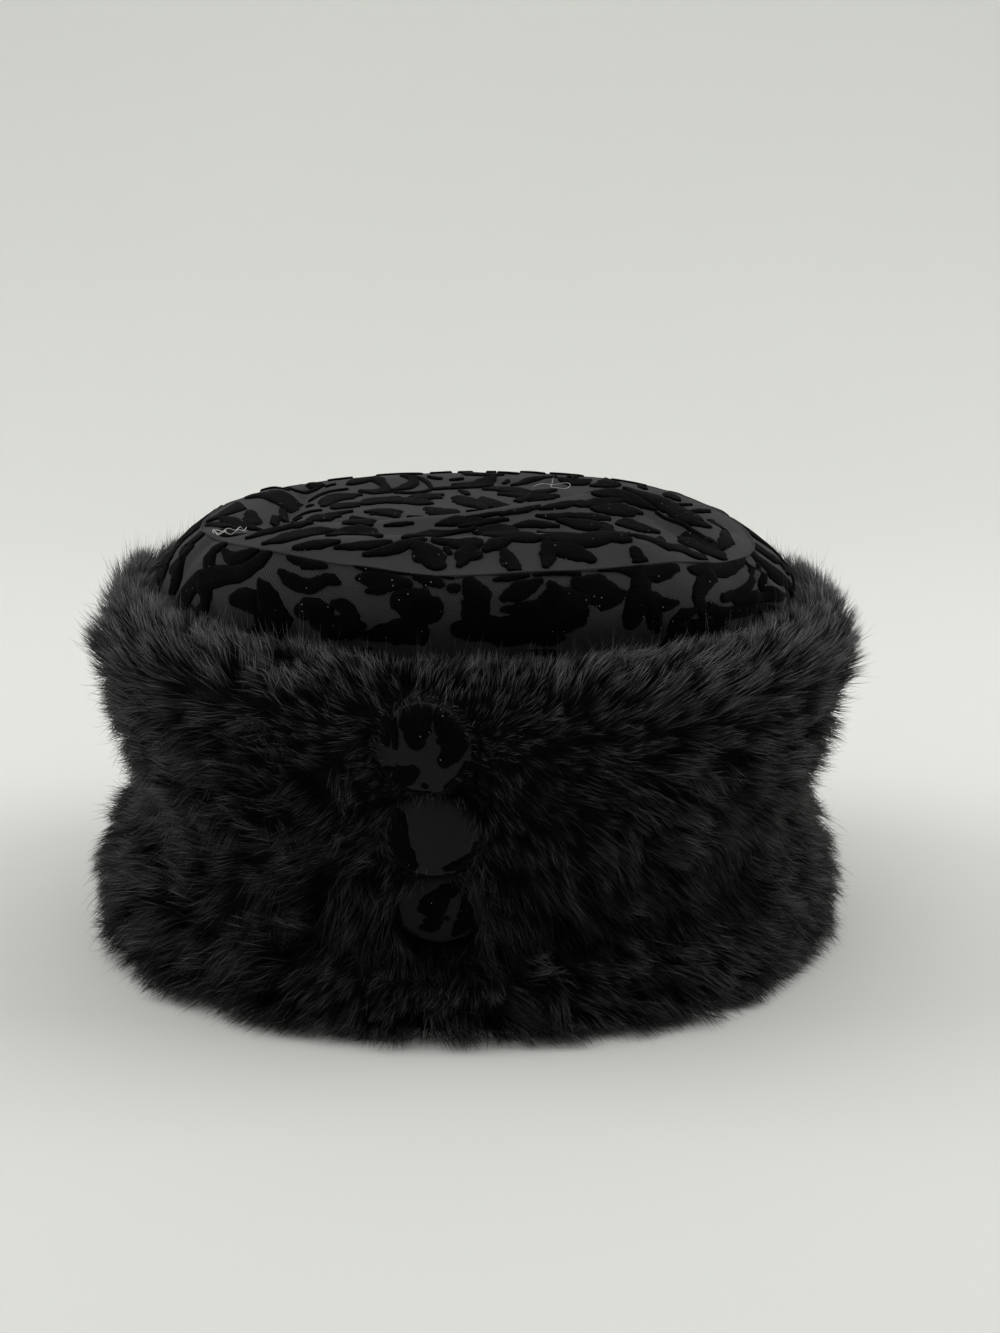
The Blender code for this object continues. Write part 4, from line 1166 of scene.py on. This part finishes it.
def button_profile():
    """Radius and height of the dome from its middle out to the rim and in to the flat back."""
    steps = [math.radians(90 - 7.5 * step) for step in range(13)]
    dome = [(BUTTON_RADIUS * math.cos(turn), BUTTON_RIM + BUTTON_DOME * math.sin(turn)) for turn in steps]
    back = [(BUTTON_RADIUS, 0.0007), (BUTTON_RADIUS - 0.0008, 0.0)]
    shank = [(SHANK_RADIUS, 0.0), (SHANK_RADIUS, -SHANK_LENGTH), (0.0, -SHANK_LENGTH)]
    return dome + back + shank


def covered_button(name, button):
    shell = bmesh.new()
    spots = [shell.verts.new((radius, 0, height)) for radius, height in button_profile()]
    edges = [shell.edges.new(pair) for pair in zip(spots, spots[1:])]
    bmesh.ops.spin(
        shell, geom=spots + edges, cent=(0, 0, 0), axis=(0, 0, 1), angle=2 * math.pi, steps=72, use_merge=True
    )
    bmesh.ops.remove_doubles(shell, verts=shell.verts, dist=1e-6)
    bmesh.ops.recalc_face_normals(shell, faces=shell.faces)
    uv = shell.loops.layers.uv.new("cloth")
    for face in shell.faces:
        face.smooth = True
        for loop in face.loops:
            loop[uv].uv = loop.vert.co.xy * (1 + 0.1 * (loop.vert.co.z < 0.0012))
    turn = way_to_face(button).to_4x4()
    turn.translation = button[:3]
    bmesh.ops.transform(shell, matrix=turn, verts=shell.verts)
    return piece_from(name, shell)


def on_button(button):
    """Gives the place on a button's dome, and the way it faces, for spots on its flat disc."""
    turn = np.array(way_to_face(button))

    def lay_on(spots):
        off = np.hypot(spots[:, 0], spots[:, 1])
        kept = np.minimum(off, BUTTON_RADIUS * 0.992) / np.maximum(off, 1e-6)
        x, y = spots[:, 0] * kept, spots[:, 1] * kept
        share = np.minimum((x**2 + y**2) / BUTTON_RADIUS**2, 0.985)
        rise = np.sqrt(1 - share)
        local = np.stack([x, y, BUTTON_RIM + BUTTON_DOME * rise], axis=-1)
        slope = BUTTON_DOME / BUTTON_RADIUS**2 / rise
        facing = unit(np.stack([x * slope, y * slope, np.ones(len(x))], axis=-1))
        return local @ turn.T + np.array(button[:3]), facing @ turn.T

    return lay_on


# The buttons' covers are the crown's twill made darker: painted shade from the fur that rises round them.
painted_shade_button_twill = twill_finish("painted_shade_button_twill", 0.56)
for name, button in BUTTONS.items():
    velvet = pile_strokes(name + "_velvet", BUTTON_PATTERNS[name], on_button(button), height=0.0005)
    velvet.data.materials.append(black_velvet)
    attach(velvet, "root")
    cover = covered_button(name + "_cover", button)
    cover.data.materials.append(painted_shade_button_twill)
    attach(cover, "root")
    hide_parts(name)


# The set: a pale paper sweep that rises behind the hat, a broad soft light overhead and a little behind, a
# soft panel on each side, a weak fill from the front, and a camera a little above the band.
SWEEP_REACH = 3.0
SWEEP_START = 0.7
SWEEP_BEND = 0.9
SWEEP_HEIGHT = 3.2


def paper_sweep():
    sweep = bmesh.new()
    line = [(-SWEEP_REACH, 0.0), (SWEEP_START, 0.0)]
    for step in range(1, 19):
        turn = math.radians(5 * step)
        line.append((SWEEP_START + SWEEP_BEND * math.sin(turn), SWEEP_BEND - SWEEP_BEND * math.cos(turn)))
    line.append((SWEEP_START + SWEEP_BEND, SWEEP_HEIGHT))
    edge = [sweep.verts.new((-SWEEP_REACH, y, z)) for y, z in line]
    for pair in zip(edge, edge[1:]):
        sweep.edges.new(pair)
    made = bmesh.ops.extrude_edge_only(sweep, edges=sweep.edges)
    moved = [item for item in made["geom"] if isinstance(item, bmesh.types.BMVert)]
    bmesh.ops.translate(sweep, verts=moved, vec=(2 * SWEEP_REACH, 0, 0))
    bmesh.ops.recalc_face_normals(sweep, faces=sweep.faces)
    if sum(face.normal.z for face in sweep.faces) < 0:
        bmesh.ops.reverse_faces(sweep, faces=sweep.faces)
    for face in sweep.faces:
        face.smooth = True
    return piece_from("paper_sweep", sweep)


def paper_finish():
    finish = Finish("pale_paper", Specular_IOR_Level=0.2)
    spot = finish.add("TexCoord", out=3)
    grain = finish.add("TexNoise", None, {"Vector": spot, "Scale": 3.0, "Detail": 2.0})
    colour = finish.blend(grain, (0.655, 0.66, 0.635, 1), (0.675, 0.68, 0.655, 1))
    return finish.feed(Base_Color=colour, Roughness=0.85)


sweep = paper_sweep()
sweep.data.materials.append(paper_finish())


def soft_light(name, size, place, aim, power, colour):
    lamp = bpy.data.lights.new(name, "AREA")
    lamp.shape = "RECTANGLE"
    lamp.size, lamp.size_y = size
    lamp.energy = power
    lamp.color = colour
    panel = placed(name, lamp)
    panel.location = place
    panel.rotation_euler = (Vector(aim) - Vector(place)).to_track_quat("-Z", "Y").to_euler()


soft_light("overhead_light", (4.2, 3.0), (-0.1, 0.34, 1.7), (0, 0.03, 0), 34.5, (1.0, 1.0, 0.985))
soft_light("left_panel", (0.9, 0.9), (-1.15, 0.10, 0.85), (0, 0.05, 0.06), 7.2, (1.0, 1.0, 0.985))
soft_light("right_panel", (0.9, 0.9), (1.15, 0.10, 0.85), (0, 0.05, 0.06), 8.8, (1.0, 1.0, 0.985))
soft_light("front_fill", (2.2, 1.2), (-0.1, -1.7, 1.3), (0, 0, 0.05), 2.6, (1.0, 1.0, 1.0))

world = bpy.data.worlds.new("white_room")
bpy.context.scene.world = world
world.use_nodes = True
room = world.node_tree.nodes["Background"]
room.inputs["Color"].default_value = (0.98, 1.0, 0.975, 1)
room.inputs["Strength"].default_value = 0.24

lens = bpy.data.cameras.new("photo_camera")
lens.lens = 54.18
lens.sensor_width = 36.0
lens.clip_start = 0.02
camera = placed("photo_camera", lens)
camera.location = (0.0082, -0.640, 0.2353)
camera.rotation_euler = (math.radians(90 - 13.5), 0, 0)
bpy.context.scene.camera = camera
bpy.context.scene.view_settings.view_transform = "Standard"
